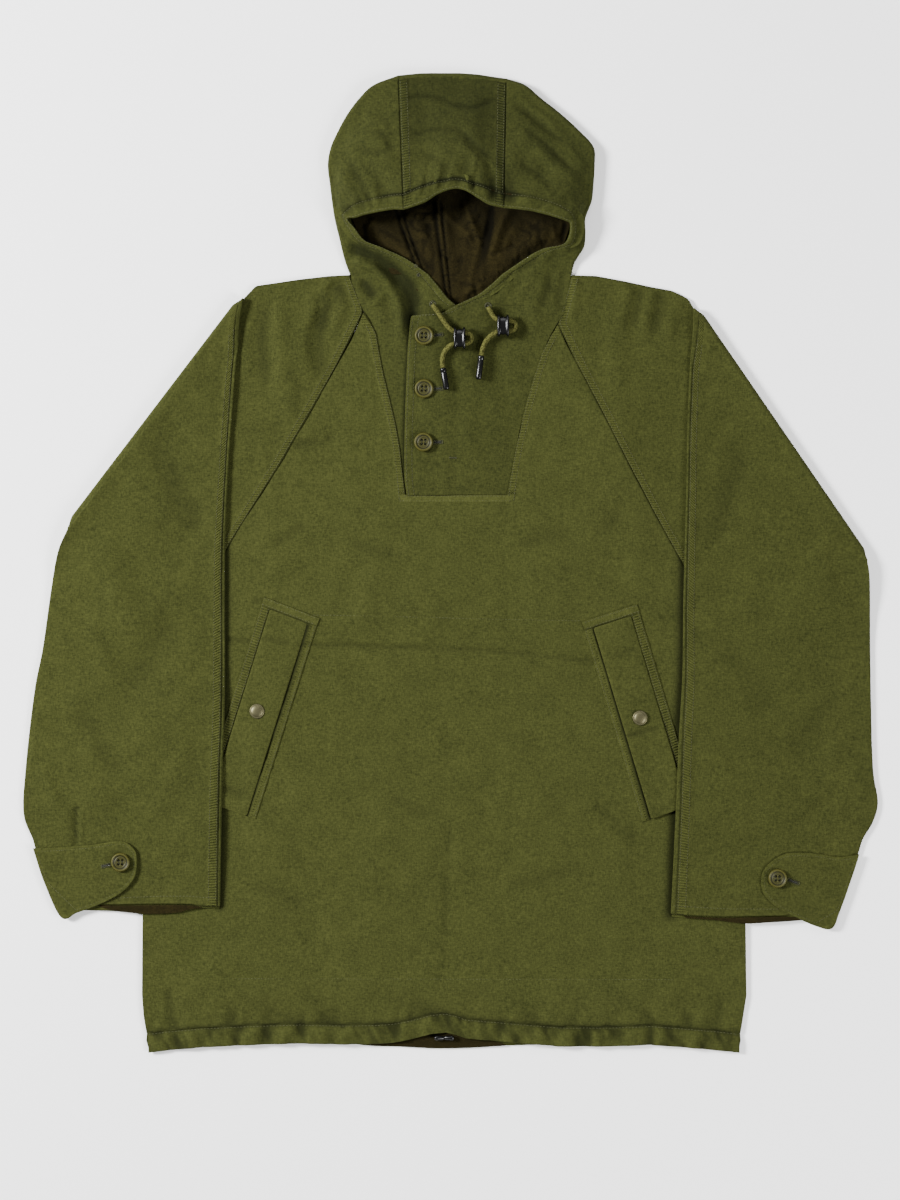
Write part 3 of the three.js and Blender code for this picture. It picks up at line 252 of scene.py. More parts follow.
BODY_SIDES = table(
    "y left right",
    [
        [-503, -311.1, 296.6], [-491, -314.2, 298.7], [-478, -313.1, 297.7], [-460, -316.2, 300.8],
        [-439, -317.8, 303.9], [-362, -317.2, 302.8], [-68.5, -317.2, 302.8],
    ],
)
HEM = table(
    "x y",
    [
        [-311.1, -503.2], [-294.6, -501.1], [-258.5, -497.5], [-207, -494.9], [-155.5, -493.4],
        [-114.3, -494.4], [-78.3, -493.9], [-60.8, -492.9], [-39.1, -488.7], [-20.6, -483.6],
        [-5.2, -482.2], [5.2, -484.6], [15.5, -488.4], [40.2, -490.3], [75.2, -493.4], [112.3, -496.5],
        [163.8, -496.5], [205, -494.9], [246.2, -498], [277.1, -501.1], [296.6, -503.2],
    ],
)
BIB_LEFT = [
    (-80.3, 244), (-76.4, 236), (-73.1, 217), (-68.6, 194), (-61.9, 167), (-56.3, 143), (-51.8, 118),
    (-48.5, 89), (-46.4, 71),
]
BIB_RIGHT = [
    (103, 236), (93.2, 217), (85.5, 194), (77.8, 167), (71.6, 143), (65.9, 118), (60.8, 89),
    (57.7, 71),
]
V_EDGES = table(
    "y left right",
    [
        [264.7, 5.2, 5.2], [271, -2.5, 18.1], [276.2, -7, 28.8], [285.8, -14.5, 41.2],
        [297.2, -24, 53.5],
    ],
)
V_BOTTOM = (5.2, 264.7)
RISE = table(
    "y high",
    [[71, 1.0], [120, 2.0], [180, 3.0], [230, 4.6], [264.7, 5.9], [297.2, 6.1]],
)
UNDER_EDGE = table("y x", [[70, -10], [235, -10], [252, 0], [264, 4]])

SLEEVES = {
    "left": {
        "out": -1,
        "neck": [(-104.5, 297), (-102.4, 280), (-95.8, 268), (-89.6, 259)],
        "raglan": [
            (-102, 230.2), (-124.6, 190), (-146.8, 151.9), (-168.9, 113.8), (-191.6, 75.7),
            (-214.2, 42.2), (-229.7, 16), (-253.4, -17), (-284.3, -45.8), (-317.2, -68.5),
        ],
        "shoulder": [(-124.6, 296), (-155.5, 292.5), (-200.8, 285.8)],
        "fold": [(-217.3, 275.5), (-397.6, 38.6)],
        "underarm": [(-322.4, -27.3), (-340.9, 8.8), (-366.7, 27.3)],
        "over": [
            (-217, 251), (-218.8, 224), (-221.8, 194.2), (-227.6, 115.9), (-230.7, 56.1), (-232.3, 0),
            (-232.3, -138.5), (-234.8, -217.8), (-237.4, -352.8),
        ],
        "under": [
            (-404.3, 10.8), (-412.2, -31.4), (-420.2, -87), (-428, -126.2), (-434.7, -178.7),
            (-438.5, -217.8), (-440.5, -246.7), (-438.5, -265.2), (-430.5, -283.8), (-427, -298),
            (-418.5, -329), (-406, -354),
        ],
        "cuff_upper": [
            (-255.7, -352.5), (-264.7, -350.7), (-297.2, -350), (-338.9, -350.7), (-361.5, -350.7),
        ],
        "cuff_lower": [
            (-255.7, -354.8), (-269.9, -356.9), (-283.2, -360), (-314.7, -361), (-348.1, -357.5),
        ],
        "flap_corner": (-240, -228),
    },
    "right": {
        "out": 1,
        "neck": [(124.5, 296.8), (124, 276), (121.5, 266), (109.6, 247.4)],
        "raglan": [
            (117.4, 228.1), (140.1, 184.9), (162.2, 142.7), (184.4, 98.4), (207, 55.6), (226.6, 20.1),
            (239, -2.6), (256.5, -27.3), (277.1, -50), (302.8, -68.5),
        ],
        "shoulder": [
            (138, 296.4), (149.3, 296), (176.1, 291), (205, 284.8), (227.6, 280.7), (244.1, 272.4),
        ],
        "fold": [(253.4, 265.2), (431.6, 5.7)],
        "underarm": [(308, -40), (330, -17), (364, -4)],
        "over": [
            (247.9, 230.2), (245.6, 202.4), (243, 135.4), (241.9, 75.7), (239, -34), (237.9, -112.8),
            (234.1, -178.7), (231.4, -244.2), (226, -361),
        ],
        "under": [
            (430.5, -21.1), (432, -112.8), (433.2, -178.7), (435.1, -217.8), (439, -239),
            (439, -251.8), (433.6, -267.9), (424, -283.8), (418.5, -301.3), (411, -324), (399, -352),
        ],
        "cuff_upper": [(240, -361.6), (280, -363.2), (341.5, -362)],
        "cuff_lower": [(241, -365.1), (273.5, -367.7), (305.9, -370.8), (363.6, -367.2)],
        "flap_corner": (238, -240),
    },
}


def prepare(sleeve):
    """The sleeve's four sides, with its fold line moved in by the fold's own radius"""
    top, end = (np.array(p, float) for p in sleeve["fold"])
    way = (end - top) / np.hypot(*(end - top))
    normal = np.array([-sleeve["out"] * way[1], sleeve["out"] * way[0]])
    back = FOLD_RADIUS + HALF
    top_in, end_in = top - back * normal, end - back * normal
    sleeve["normal"] = normal
    sleeve["fold_line"] = np.array([top_in, end_in])
    sleeve["seam"] = np.array(sleeve["neck"] + sleeve["raglan"], float)
    sleeve["shoulder_line"] = np.array([sleeve["neck"][0], *sleeve["shoulder"], top_in])
    sleeve["underarm_line"] = np.array([sleeve["raglan"][-1], *sleeve["underarm"], end_in])
    sleeve["over_line"] = rounded([top_in, *sleeve["over"]], 6)
    sleeve["under_line"] = rounded([end_in, *sleeve["under"]], 6)


for each in SLEEVES.values():
    prepare(each)


# Heights

CLEAR = table(
    "y left right",
    [
        [-505, -312, 298], [-425, -312, 298], [-385, -241, 222], [-200, -235, 234], [0, -233, 240],
        [150, -226, 243], [254, -217, 250],
    ],
)
SHOULDER = table("x y", [[-217, 278], [-104, 297], [126, 297], [250, 272]])
FRONT_FOLDS = folds(
    [
        [-134, 262, -137, 208, 9, -1.6], [-194, 268, -196, 180, 9, -1.4],
        [-165, 262, -172, 150, 12, 1.2], [211, 282, 209, 235, 8, -1.5], [188, 272, 190, 214, 8, -1.3],
        [165, 275, 172, 180, 12, 1.1], [-150, -84, -35, -87, 7, -1.2], [20, -90, 86, -94, 7, -1.2],
        [86, -94, 150, -101, 7, -1.2], [-70, 40, -90, -60, 14, 0.9], [80, 40, 96, -70, 14, 0.9],
        [0, -150, -8, -420, 16, -0.8], [-60, -160, -84, -380, 20, 0.8], [70, -180, 84, -400, 20, 0.8],
        [-150, -300, -130, -460, 18, -0.9], [150, -300, 130, -460, 18, -0.9],
        [-240, -400, -236, -470, 12, 1.0], [232, -400, 228, -470, 12, 1.0],
    ],
)
BIB_FOLDS = folds(
    [
        [-58, 300, -60, 262, 11, -2.6], [-84, 300, -70, 250, 10, 2.2], [-30, 292, -46, 236, 8, -2.0],
        [72, 296, 58, 250, 10, -1.8], [92, 300, 86, 236, 11, 1.6], [40, 236, 60, 170, 12, -1.0],
        [18, 200, 20, 120, 12, 0.9],
    ],
)


def front_free(x, y):
    """One where the front may rise, zero under the sleeves and by the shoulders"""
    left = smooth((x - look(CLEAR, "left", y) - 10) / 45)
    right = smooth((look(CLEAR, "right", y) - 10 - x) / 45)
    top = smooth((look(SHOULDER, "y", x, "x") - 4 - y) / 35)
    return left * right * top


def front_top(x, y):
    """Height of the front's plain form"""
    free = front_free(x, y)
    loft = BODY_LOFT * free + fold_height(FRONT_FOLDS, x, y) * free
    return FLAT_TOP + np.maximum(0, loft)


def rows_of(points):
    """The points as a table, from the lowest up"""
    points = np.array(sorted(points, key=lambda p: p[1]), float)
    return {"x": points[:, 0], "y": points[:, 1]}


BIB_SEAMS = {
    "left": rows_of(BIB_LEFT + [(-89.6, 259), (-95.8, 268), (-102.4, 280), (-104.5, 297)]),
    "right": rows_of(BIB_RIGHT + [(109.6, 247.4), (121.5, 266), (124, 276), (124.5, 296.8)]),
}


def bib_top(x, y):
    """Height of the bib's plain form, which rises towards the V"""
    v_left = look(V_EDGES, "left", y)
    v_right = look(V_EDGES, "right", y)
    on_left = x < (v_left + v_right) / 2
    edge = np.where(on_left, v_left, v_right)
    seams = [look(BIB_SEAMS[k], "x", y) for k in ("left", "right")]
    f = clamp((x - edge) / (np.where(on_left, *seams) - edge))
    swell = (1 - f**2) ** SWELL
    level = lerp(front_top(x, y), FLAT_TOP, smooth((y - 262) / 30))
    folds = fold_height(BIB_FOLDS, x, y) * smooth(f * 5) * smooth((1 - f) * 5)
    return level + np.maximum(0, look(RISE, "high", y) * swell + folds)


def over_top(x, y):
    """The same for the bib's upper side, one layer higher where it overlaps"""
    start = look(UNDER_EDGE, "x", y) + 0.8
    return bib_top(x, y) + PLACKET_STEP * (1 - smooth((x - start) / OVERLAP_RAMP))


def inside_distance(polygon, x, y):
    """Distance to a polygon's edge, positive inside it"""
    nearest = np.full(np.shape(x), np.inf)
    inside = np.zeros(np.shape(x), bool)
    for p, q in zip(polygon, np.roll(polygon, -1, 0)):
        run = q - p
        t = clamp(((x - p[0]) * run[0] + (y - p[1]) * run[1]) / max(1e-9, run @ run))
        nearest = np.minimum(nearest, np.hypot(x - p[0] - t * run[0], y - p[1] - t * run[1]))
        crosses = (p[1] > y) != (q[1] > y)
        slope = run[0] / run[1] if run[1] else 0.0
        inside ^= crosses & (x < p[0] + (y - p[1]) * slope)
    return np.where(inside, nearest, -nearest)


def laid_outline():
    """Outline of the body as the folded sleeves lie on it"""
    left, right = SLEEVES["left"], SLEEVES["right"]
    hem = [(-311.1, -501.1), (-21.6, -499.6), (296.6, -501.1)]
    rest = [
        hem,
        [(302.8, -440), (302.8, -68.5)],
        right["underarm_line"],
        right["shoulder_line"][::-1],
        left["shoulder_line"],
        left["underarm_line"][::-1],
        [(-317.2, -68.5), (-317.2, -440)],
    ]
    return np.vstack([np.array(part, float) for part in rest])


LAID_OUTLINE = laid_outline()


def support(sleeve, x, y):
    """Height of what a folded sleeve lies on"""
    out = -inside_distance(LAID_OUTLINE, x, y)
    on_body = (FLAT_TOP + STACK_GAP) * (1 - smooth((out - SIDE_PLATEAU) / SIDE_RAMP))
    away = np.hypot(x - sleeve["flap_corner"][0], y - sleeve["flap_corner"][1])
    return on_body + (FLAP_THICK + STACK_GAP) * (1 - smooth((away - 62) / 70))


def cloth_top(x, y):
    """Height of the cloth that the drawcords lie on"""
    x, y = np.asarray(x, float), np.asarray(y, float)
    return np.where((y > 256) | (x < -46), bib_top(x, y), over_top(x, y))


def rest_on(surface, x, y, radius):
    """Highest point of a surface under a round piece"""
    ring = np.arange(8) * math.pi / 4
    around = surface(x + radius * np.cos(ring), y + radius * np.sin(ring))
    return float(max(np.max(around), surface(np.array([x]), np.array([y]))[0]))


# Meshes


def quads(rows, cols, start=0, closed=False):
    """Four-sided faces of a grid of points, which may close on itself sideways"""
    i, j = np.meshgrid(np.arange(rows - 1), np.arange(cols - (0 if closed else 1)), indexing="ij")
    k = (j + 1) % cols
    faces = np.stack([i * cols + j, i * cols + k, (i + 1) * cols + k, (i + 1) * cols + j], -1)
    return faces.reshape(-1, 4) + start


def make_mesh(name, points, faces, material, attributes=None, merge=0.02):
    """A piece from points in millimetres, with faces as lists of corners"""
    mesh = bpy.data.meshes.new(name)
    mesh.from_pydata((np.asarray(points, float) * MM).tolist(), [], [list(f) for f in faces])
    for key, values in (attributes or {}).items():
        layer = mesh.attributes.new(key, "FLOAT", "POINT")
        layer.data.foreach_set("value", np.asarray(values, np.float32).ravel())
    piece = bpy.data.objects.new(name, mesh)
    bpy.context.scene.collection.objects.link(piece)
    tidy(mesh, merge)
    mesh.materials.append(material)
    mesh.polygons.foreach_set("use_smooth", [True] * len(mesh.polygons))
    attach(piece, "root")
    return piece


def tidy(mesh, merge):
    """Points that meet become one, and all faces look outwards"""
    work = bmesh.new()
    work.from_mesh(mesh)
    bmesh.ops.remove_doubles(work, verts=work.verts, dist=merge * MM)
    bmesh.ops.recalc_face_normals(work, faces=work.faces)
    work.to_mesh(mesh)
    work.free()
    mesh.update()


class Sheet:
    """Grids of points that make one piece, each with the same attributes"""

    NAMES = ("wear", "rung_along", "rung_across", "shade")

    def __init__(self):
        self.points, self.faces, self.values = [], [], {n: [] for n in self.NAMES}
        self.count = 0

    def unset(self, name):
        """Value where none is given: no ladder, no paling and no shade"""
        return 99.0 if name == "rung_across" else 0.0

    def add(self, grid, closed=False, **values):
        rows, cols = grid.shape[:2]
        self.points.append(grid.reshape(-1, 3))
        self.faces.append(quads(rows, cols, self.count, closed))
        for name in self.NAMES:
            given = values.get(name, self.unset(name))
            self.values[name].append(np.broadcast_to(given, (rows, cols)).ravel())
        self.count += rows * cols

    def rim(self, border, inward, thick, wear=0.0):
        """A turned edge under a border line. inward is the horizontal way in from it."""
        border = np.asarray(border, float)
        steps = [(0, 0), (-0.25, 0.3), (-0.3, 0.7), (0, 1), (6, 1)]
        lines = []
        for into, down in steps:
            line = border.copy()
            line[:, :2] += inward * into
            line[:, 2] -= thick * down
            lines.append(line)
        self.add(np.array(lines), wear=wear)

    def build(self, name, material, merge=0.02):
        attributes = {n: np.concatenate(v) for n, v in self.values.items()}
        faces = [f for group in self.faces for f in group]
        return make_mesh(name, np.concatenate(self.points), faces, material, attributes, merge)


def way_in(border, centre):
    """Unit ways square to a border line, towards a point"""
    border = np.asarray(border, float)[:, :2]
    run = np.gradient(border, axis=0)
    square = np.stack([-run[:, 1], run[:, 0]], -1)
    square /= np.maximum(1e-9, np.hypot(*square.T))[:, None]
    side = np.sign(np.sum(square * (np.asarray(centre, float) - border), -1))
    return square * side[:, None]


# Materials


def node(tree, kind, **inputs):
    made = tree.nodes.new(kind)
    for name, value in inputs.items():
        made.inputs[name.replace("_", " ")].default_value = value
    return made


def srgb(red, green, blue):
    def linear(c):
        c /= 255
        return c / 12.92 if c <= 0.04045 else ((c + 0.055) / 1.055) ** 2.4

    return (linear(red), linear(green), linear(blue), 1.0)


def plain(name, colour, rough=0.5, metal=0.0, shine=0.5):
    """A material with one colour"""
    material = bpy.data.materials.new(name)
    material.use_nodes = True
    shader = material.node_tree.nodes["Principled BSDF"]
    shader.inputs["Base Color"].default_value = colour
    shader.inputs["Roughness"].default_value = rough
    shader.inputs["Metallic"].default_value = metal
    shader.inputs["Specular IOR Level"].default_value = shine
    return material


def cloth_material(name, colour, pale_tone, sheen=0.02, weave=0.6, grain=1.0, rough=0.92):
    """Woven cloth: slubs along both ways of the weave, paler where wear is set and darker where shade is
    set, which is mostly painted shade
    """
    material = bpy.data.materials.new(name)
    material.use_nodes = True
    tree = material.node_tree
    link = tree.links.new
    shader = tree.nodes["Principled BSDF"]
    shader.inputs["Roughness"].default_value = rough
    shader.inputs["Specular IOR Level"].default_value = 0.06
    shader.inputs["Sheen Weight"].default_value = sheen
    shader.inputs["Sheen Roughness"].default_value = 0.6
    shader.inputs["Sheen Tint"].default_value = pale_tone
    place = tree.nodes.new("ShaderNodeTexCoord").outputs["Object"]

    def slubs(across, along_y, detail):
        stretch = node(tree, "ShaderNodeMapping", Scale=(across, along_y, 400))
        link(place, stretch.inputs["Vector"])
        grainy = node(tree, "ShaderNodeTexNoise", Scale=1.0, Detail=detail, Roughness=0.6)
        link(stretch.outputs["Vector"], grainy.inputs["Vector"])
        return grainy.outputs["Fac"]

    def combine(kind, a, b):
        made = node(tree, "ShaderNodeMath")
        made.operation = kind
        for socket, value in zip(made.inputs, (a, b)):
            if isinstance(value, (int, float)):
                socket.default_value = value
            else:
                link(value, socket)
        return made.outputs["Value"]

    def attribute(key):
        made = tree.nodes.new("ShaderNodeAttribute")
        made.attribute_name = key
        return made.outputs["Fac"]

    warp = slubs(720 / grain, 270 / grain, 3.0)
    weft = slubs(250 / grain, 680 / grain, 3.0)
    blotch = slubs(46, 46, 4.0)
    thread = combine("ADD", combine("MULTIPLY", warp, 0.5), combine("MULTIPLY", weft, 0.5))
    # rungs across the seam bands, where the stitching draws the cloth in; their ridges are also painted
    # paler and their dips darker, as painted light and shade
    rung = combine("SINE", combine("MULTIPLY", attribute("rung_along"), 2 * math.pi / RUNG_STEP), 0)
    band = combine("LESS_THAN", attribute("rung_across"), 1.0)
    rung = combine("MULTIPLY", rung, band)
    tone = combine("ADD", combine("MULTIPLY", thread, 2.0), combine("MULTIPLY", blotch, 0.4))
    tone = combine("ADD", tone, combine("MULTIPLY", rung, 0.3))
    tone = combine("ADD", tone, attribute("wear"))
    ramp = tree.nodes.new("ShaderNodeMapRange")
    ramp.inputs["From Min"].default_value = 0.8
    ramp.inputs["From Max"].default_value = 1.85
    link(tone, ramp.inputs["Value"])
    paint = tree.nodes.new("ShaderNodeMix")
    paint.data_type = "RGBA"
    paint.inputs[6].default_value = tuple(c * 0.6 for c in colour[:3]) + (1.0,)
    paint.inputs[7].default_value = pale_tone
    link(ramp.outputs["Result"], paint.inputs[0])
    # painted shade: the shade attribute darkens the colour towards a quarter of it; the same attribute also
    # draws the seams' dark lines and the cord's flecks
    dim = tree.nodes.new("ShaderNodeMix")
    dim.data_type = "RGBA"
    dim.inputs[7].default_value = tuple(c * 0.25 for c in colour[:3]) + (1.0,)
    link(attribute("shade"), dim.inputs[0])
    link(paint.outputs[2], dim.inputs[6])
    link(dim.outputs[2], shader.inputs["Base Color"])
    height = combine("ADD", thread, combine("MULTIPLY", rung, 1.5))
    bump = node(tree, "ShaderNodeBump", Strength=weave, Distance=0.0006)
    link(height, bump.inputs["Height"])
    link(bump.outputs["Normal"], shader.inputs["Normal"])
    return material


RUNG_STEP = 2.7  # of the ladder in the seam bands

CANVAS = cloth_material("olive_canvas", srgb(38, 42, 15), srgb(60, 63, 29))
SLEEVE_CANVAS = cloth_material("olive_canvas_sleeve", srgb(36, 40, 14), srgb(59, 62, 28))
HOOD_CANVAS = cloth_material("olive_canvas_hood", srgb(33, 37, 13), srgb(56, 59, 26))
LINING = cloth_material("dark_lining", srgb(12, 10, 2), srgb(37, 32, 12), 0.0, 0.15, 0.5, 1.0)
THREAD = plain("olive_thread", srgb(53, 55, 24), 0.85)
HOLE_THREAD = plain("buttonhole_thread", srgb(46, 48, 18), 0.85)
DARK_THREAD = plain("dark_thread", srgb(44, 46, 16), 0.85)
BRASS = plain("antique_snap", srgb(80, 77, 55), 0.5, 0.9)
BLACK = plain("black_plastic", srgb(6, 6, 6), 0.28, 0.0, 0.25)
# painted shadow: the dark of the buttonholes' slits and the eyelets' holes
SLIT_SHADOW = plain("dark_gap", srgb(14, 15, 6), 0.9)


def put_slot(piece):
    return piece


# Camera, table and light


def make_stage():
    camera_data = bpy.data.cameras.new("camera")
    camera_data.sensor_width = SENSOR
    camera_data.lens = SENSOR * CAMERA_HIGH / VIEW_HIGH
    camera = bpy.data.objects.new("camera", camera_data)
    camera.location = (*VIEW_CENTRE, CAMERA_HIGH)
    bpy.context.scene.collection.objects.link(camera)
    bpy.context.scene.camera = camera
    mesh = bpy.data.meshes.new("table_top")
    quarters = ((-1, -1), (1, -1), (1, 1), (-1, 1))
    corners = [(x * TABLE_HALF, y * TABLE_HALF, -TABLE_GAP) for x, y in quarters]
    mesh.from_pydata(corners, [], [(0, 1, 2, 3)])
    mesh.materials.append(plain("pale_table", srgb(245, 245, 245), 0.95))
    table_top = bpy.data.objects.new("table_top", mesh)
    bpy.context.scene.collection.objects.link(table_top)
    lamps = [
        ("key", (-2.7, 0.7, 1.8), 0.8, 425), ("second", (2.4, -1.5, 1.9), 1.5, 192),
        ("top", (0.5, 2.9, 2.6), 2.0, 70),
    ]
    for name, place, wide, power in lamps:
        data = bpy.data.lights.new(name, "AREA")
        data.size, data.energy = wide, power
        lamp = bpy.data.objects.new(name, data)
        lamp.location = place
        lamp.rotation_euler = (-Vector(place)).to_track_quat("-Z", "Y").to_euler()
        bpy.context.scene.collection.objects.link(lamp)
    world = bpy.data.worlds.new("world")
    world.use_nodes = True
    world.node_tree.nodes["Background"].inputs["Color"].default_value = (1.0, 1.0, 1.0, 1.0)
    world.node_tree.nodes["Background"].inputs["Strength"].default_value = 0.3
    bpy.context.scene.world = world


make_stage()


# Drawcords, with their locks and tips. lift is the cord's height above the cloth it lies on.

CORDS = {
    "left": {
        "route": [
            (-18.7, 265.2, 0), (-15, 259.5, 0.4), (-11, 253.5, 0.6), (-6.5, 247, 0.4),
            (-2, 241.4, 1.2), (2.6, 238, 2.6), (8.8, 236.4, 3.2), (15, 236.2, 3), (19.2, 234.6, 2.4),
            (21, 230.8, 2.2), (19.2, 227, 2.4), (15, 225.4, 3), (8.8, 225.2, 3.2), (2.6, 224.6, 2.6),
            (-3, 221.4, 0.8), (-7, 216, 0.2), (-8.8, 209, 0), (-8.4, 200.4, 0),
        ],
        "lock": (8.8, 230.7),
        "tip": [(-8.3, 200), (-4.4, 178.2)],
    },
    "right": {
        "route": [
            (38, 263.2, 0), (40.4, 258.4, 0.2), (43.4, 253.6, 0.6), (47, 250.4, 1.8), (51, 249.2, 3),
            (53.5, 249.1, 3.2), (60, 249, 3), (64.4, 247.4, 2.4), (66.3, 243.6, 2.2),
            (64.4, 239.8, 2.4), (60, 238.2, 3), (53.5, 238.1, 3.2), (47, 236.9, 2.4), (41, 233.4, 0.8),
            (36, 228, 0.2), (32.8, 221, 0), (31.2, 213.2, 0),
        ],
        "lock": (53.5, 243.6),
        "tip": [(31.1, 212.8), (28.1, 188.8)],
    },
}


def circle(sides):
    """Angles at even steps all round"""
    return np.arange(sides) * 2 * math.pi / sides


def smooth_path(points, count):
    """Points at even steps on a smooth curve through the given ones, in three dimensions"""
    points = np.asarray(points, float)
    wider = padded(points)
    fine = []
    for i in range(len(points) - 1):
        fine += [curve(*wider[i : i + 4], t) for t in np.arange(12) / 12]
    fine = np.array(fine + [points[-1]])
    run = running(fine)
    at = np.linspace(0, run[-1], count)
    return np.stack([np.interp(at, run, fine[:, k]) for k in range(3)], -1), run[-1]


def tube_rings(path, radius):
    """Rings round a path. radius is a function of the ring's share and its angles."""
    ways = np.gradient(path, axis=0)
    ways /= np.linalg.norm(ways, axis=1)[:, None]
    side = np.cross(ways[0], (0, 0, 1.0))
    side /= np.linalg.norm(side)
    rings = []
    for i, (centre, way) in enumerate(zip(path, ways)):
        side = side - way * (side @ way)
        side /= np.linalg.norm(side)
        up = np.cross(side, way)
        angles = circle(RING_SIDES)
        r = radius(i, angles)
        ring = centre + (np.cos(angles) * r)[:, None] * side + (np.sin(angles) * r)[:, None] * up
        rings.append(ring)
    return np.array(rings)


RING_SIDES = 24
BRAID_STRANDS = 6


def cord_points(side):
    points = []
    for x, y, lift in CORDS[side]["route"]:
        z = rest_on(cloth_top, x, y, CORD_RADIUS + 2) + SEAM_GAP + CORD_RADIUS + lift
        points.append((x, y, z))
    return points


def make_cord(side):
    """A braided cord: two families of strands cross on its surface"""
    path, long = smooth_path(cord_points(side), 220)
    step = long / (len(path) - 1)

    def radius(i, angles):
        turn = i * step / 7.0 * 2 * math.pi / BRAID_STRANDS * 2
        one = np.cos(BRAID_STRANDS * angles + turn * BRAID_STRANDS / 2)
        other = np.cos(BRAID_STRANDS * angles - turn * BRAID_STRANDS / 2)
        return CORD_RADIUS * (0.94 + 0.06 * np.maximum(one, other))

    rings = tube_rings(path, radius)
    sheet = Sheet()
    fleck = (noise(np.arange(220)[:, None] * 1.0, np.arange(RING_SIDES)[None, :] * 3.1, 1.7, 3) > 0.1) * 0.8
    sheet.add(rings, closed=True, wear=0.1, shade=fleck)
    cap = np.repeat(path[-1][None, None], RING_SIDES, 1)
    sheet.add(np.vstack([rings[-1:], cap]), closed=True)
    cap = np.repeat(path[0][None, None], RING_SIDES, 1)
    sheet.add(np.vstack([rings[:1], cap]), closed=True)
    cord = sheet.build(f"cord_{side}", CORD_CLOTH)
    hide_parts(f"drawcord_{side}")
    put_slot(cord)
    return cord, path, long


def lathe(name, profile, centre, material, sides=48, way=None):
    """A round piece turned about a line up from its centre, or along another way"""
    profile = np.asarray(profile, float)
    angles = circle(sides)
    ring = np.stack([np.cos(angles), np.sin(angles), np.zeros(sides)], -1)
    grid = profile[:, None, :1] * ring[None] + profile[:, None, 1:] * np.array([0, 0, 1.0])
    if way is not None:
        turn = Vector((0, 0, 1)).rotation_difference(Vector(way)).to_matrix()
        grid = grid @ np.array(turn).T
    grid = grid + np.asarray(centre, float)
    sheet = Sheet()
    sheet.add(grid, closed=True)
    return sheet.build(name, material, 0.005)


def make_tip(side):
    """The black tip on a drawcord's end"""
    (x1, y1), (x2, y2) = CORDS[side]["tip"]
    ends = []
    for x, y in ((x1, y1), (x2, y2)):
        ends.append((x, y, rest_on(cloth_top, x, y, TIP_RADIUS + 1) + SEAM_GAP + TIP_RADIUS))
    ends = np.array(ends)
    long = np.linalg.norm(ends[1] - ends[0])
    r = TIP_RADIUS
    profile = [
        (0.0, 0.0),
        (r * 0.86, 0.0),
        (r * 0.98, 0.5),
        (r, 1.2),
        (r, 3.2),
        (r * 0.9, 3.8),
        (r * 0.9, 5.0),
        (r * 0.97, 5.6),
        (r * 0.95, long - 2.0),
        (r * 0.86, long - 0.7),
        (r * 0.6, long),
        (r * 0.45, long - 0.5),
        (0.0, long - 0.6),
    ]
    tip = lathe(f"tip_{side}", profile, ends[0], BLACK, 28, (ends[1] - ends[0]) / long)
    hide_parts(f"cord_tip_{side}")
    return put_slot(tip)


def make_lock(side, path):
    """A rounded block across the cord's two runs, with a raised collar near each end"""
    x, y = CORDS[side]["lock"]
    near = path[np.argmin(np.abs(path[:, 0] - x) + np.abs(path[:, 1] - y) * 0.2)]
    centre = np.array([x, y, near[2]])
    thick, long, high = LOCK["thick"], LOCK["long"], LOCK["high"]
    end = [(0, 0.2), (0, 0.8), (0.4, 0.92), (1, 0.985), (1.9, 0.985), (2.5, 0.9), (3, 0.8), (3.6, 0.78)]
    stations = [*end, (thick * 0.5, 0.82), *((thick - at, scale) for at, scale in end[::-1])]
    angles = circle(48)
    power = 0.8
    oval_y = np.sign(np.cos(angles)) * np.abs(np.cos(angles)) ** power * long / 2
    oval_z = np.sign(np.sin(angles)) * np.abs(np.sin(angles)) ** power * high / 2
    rings = []
    for at, scale in stations:
        ring = np.stack([np.full(48, at - thick / 2), oval_y * scale, oval_z * scale], -1)
        rings.append(ring + centre)
    sheet = Sheet()
    sheet.add(np.array(rings), closed=True)
    for ring in (rings[0], rings[-1]):
        middle = np.repeat(ring.mean(0)[None, None], 48, 1)
        sheet.add(np.vstack([ring[None], middle]), closed=True)
    lock = sheet.build(f"lock_{side}", BLACK, 0.005)
    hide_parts(f"cord_lock_{side}")
    return put_slot(lock)


CORD_CLOTH = cloth_material("olive_cord", srgb(56, 57, 24), srgb(86, 86, 44), 0.05, 0.3, 0.6)


def make_drawcords():
    for side in CORDS:
        cord, path, long = make_cord(side)
        tip = make_tip(side)
        lock = make_lock(side, path)


make_drawcords()


# Stitches


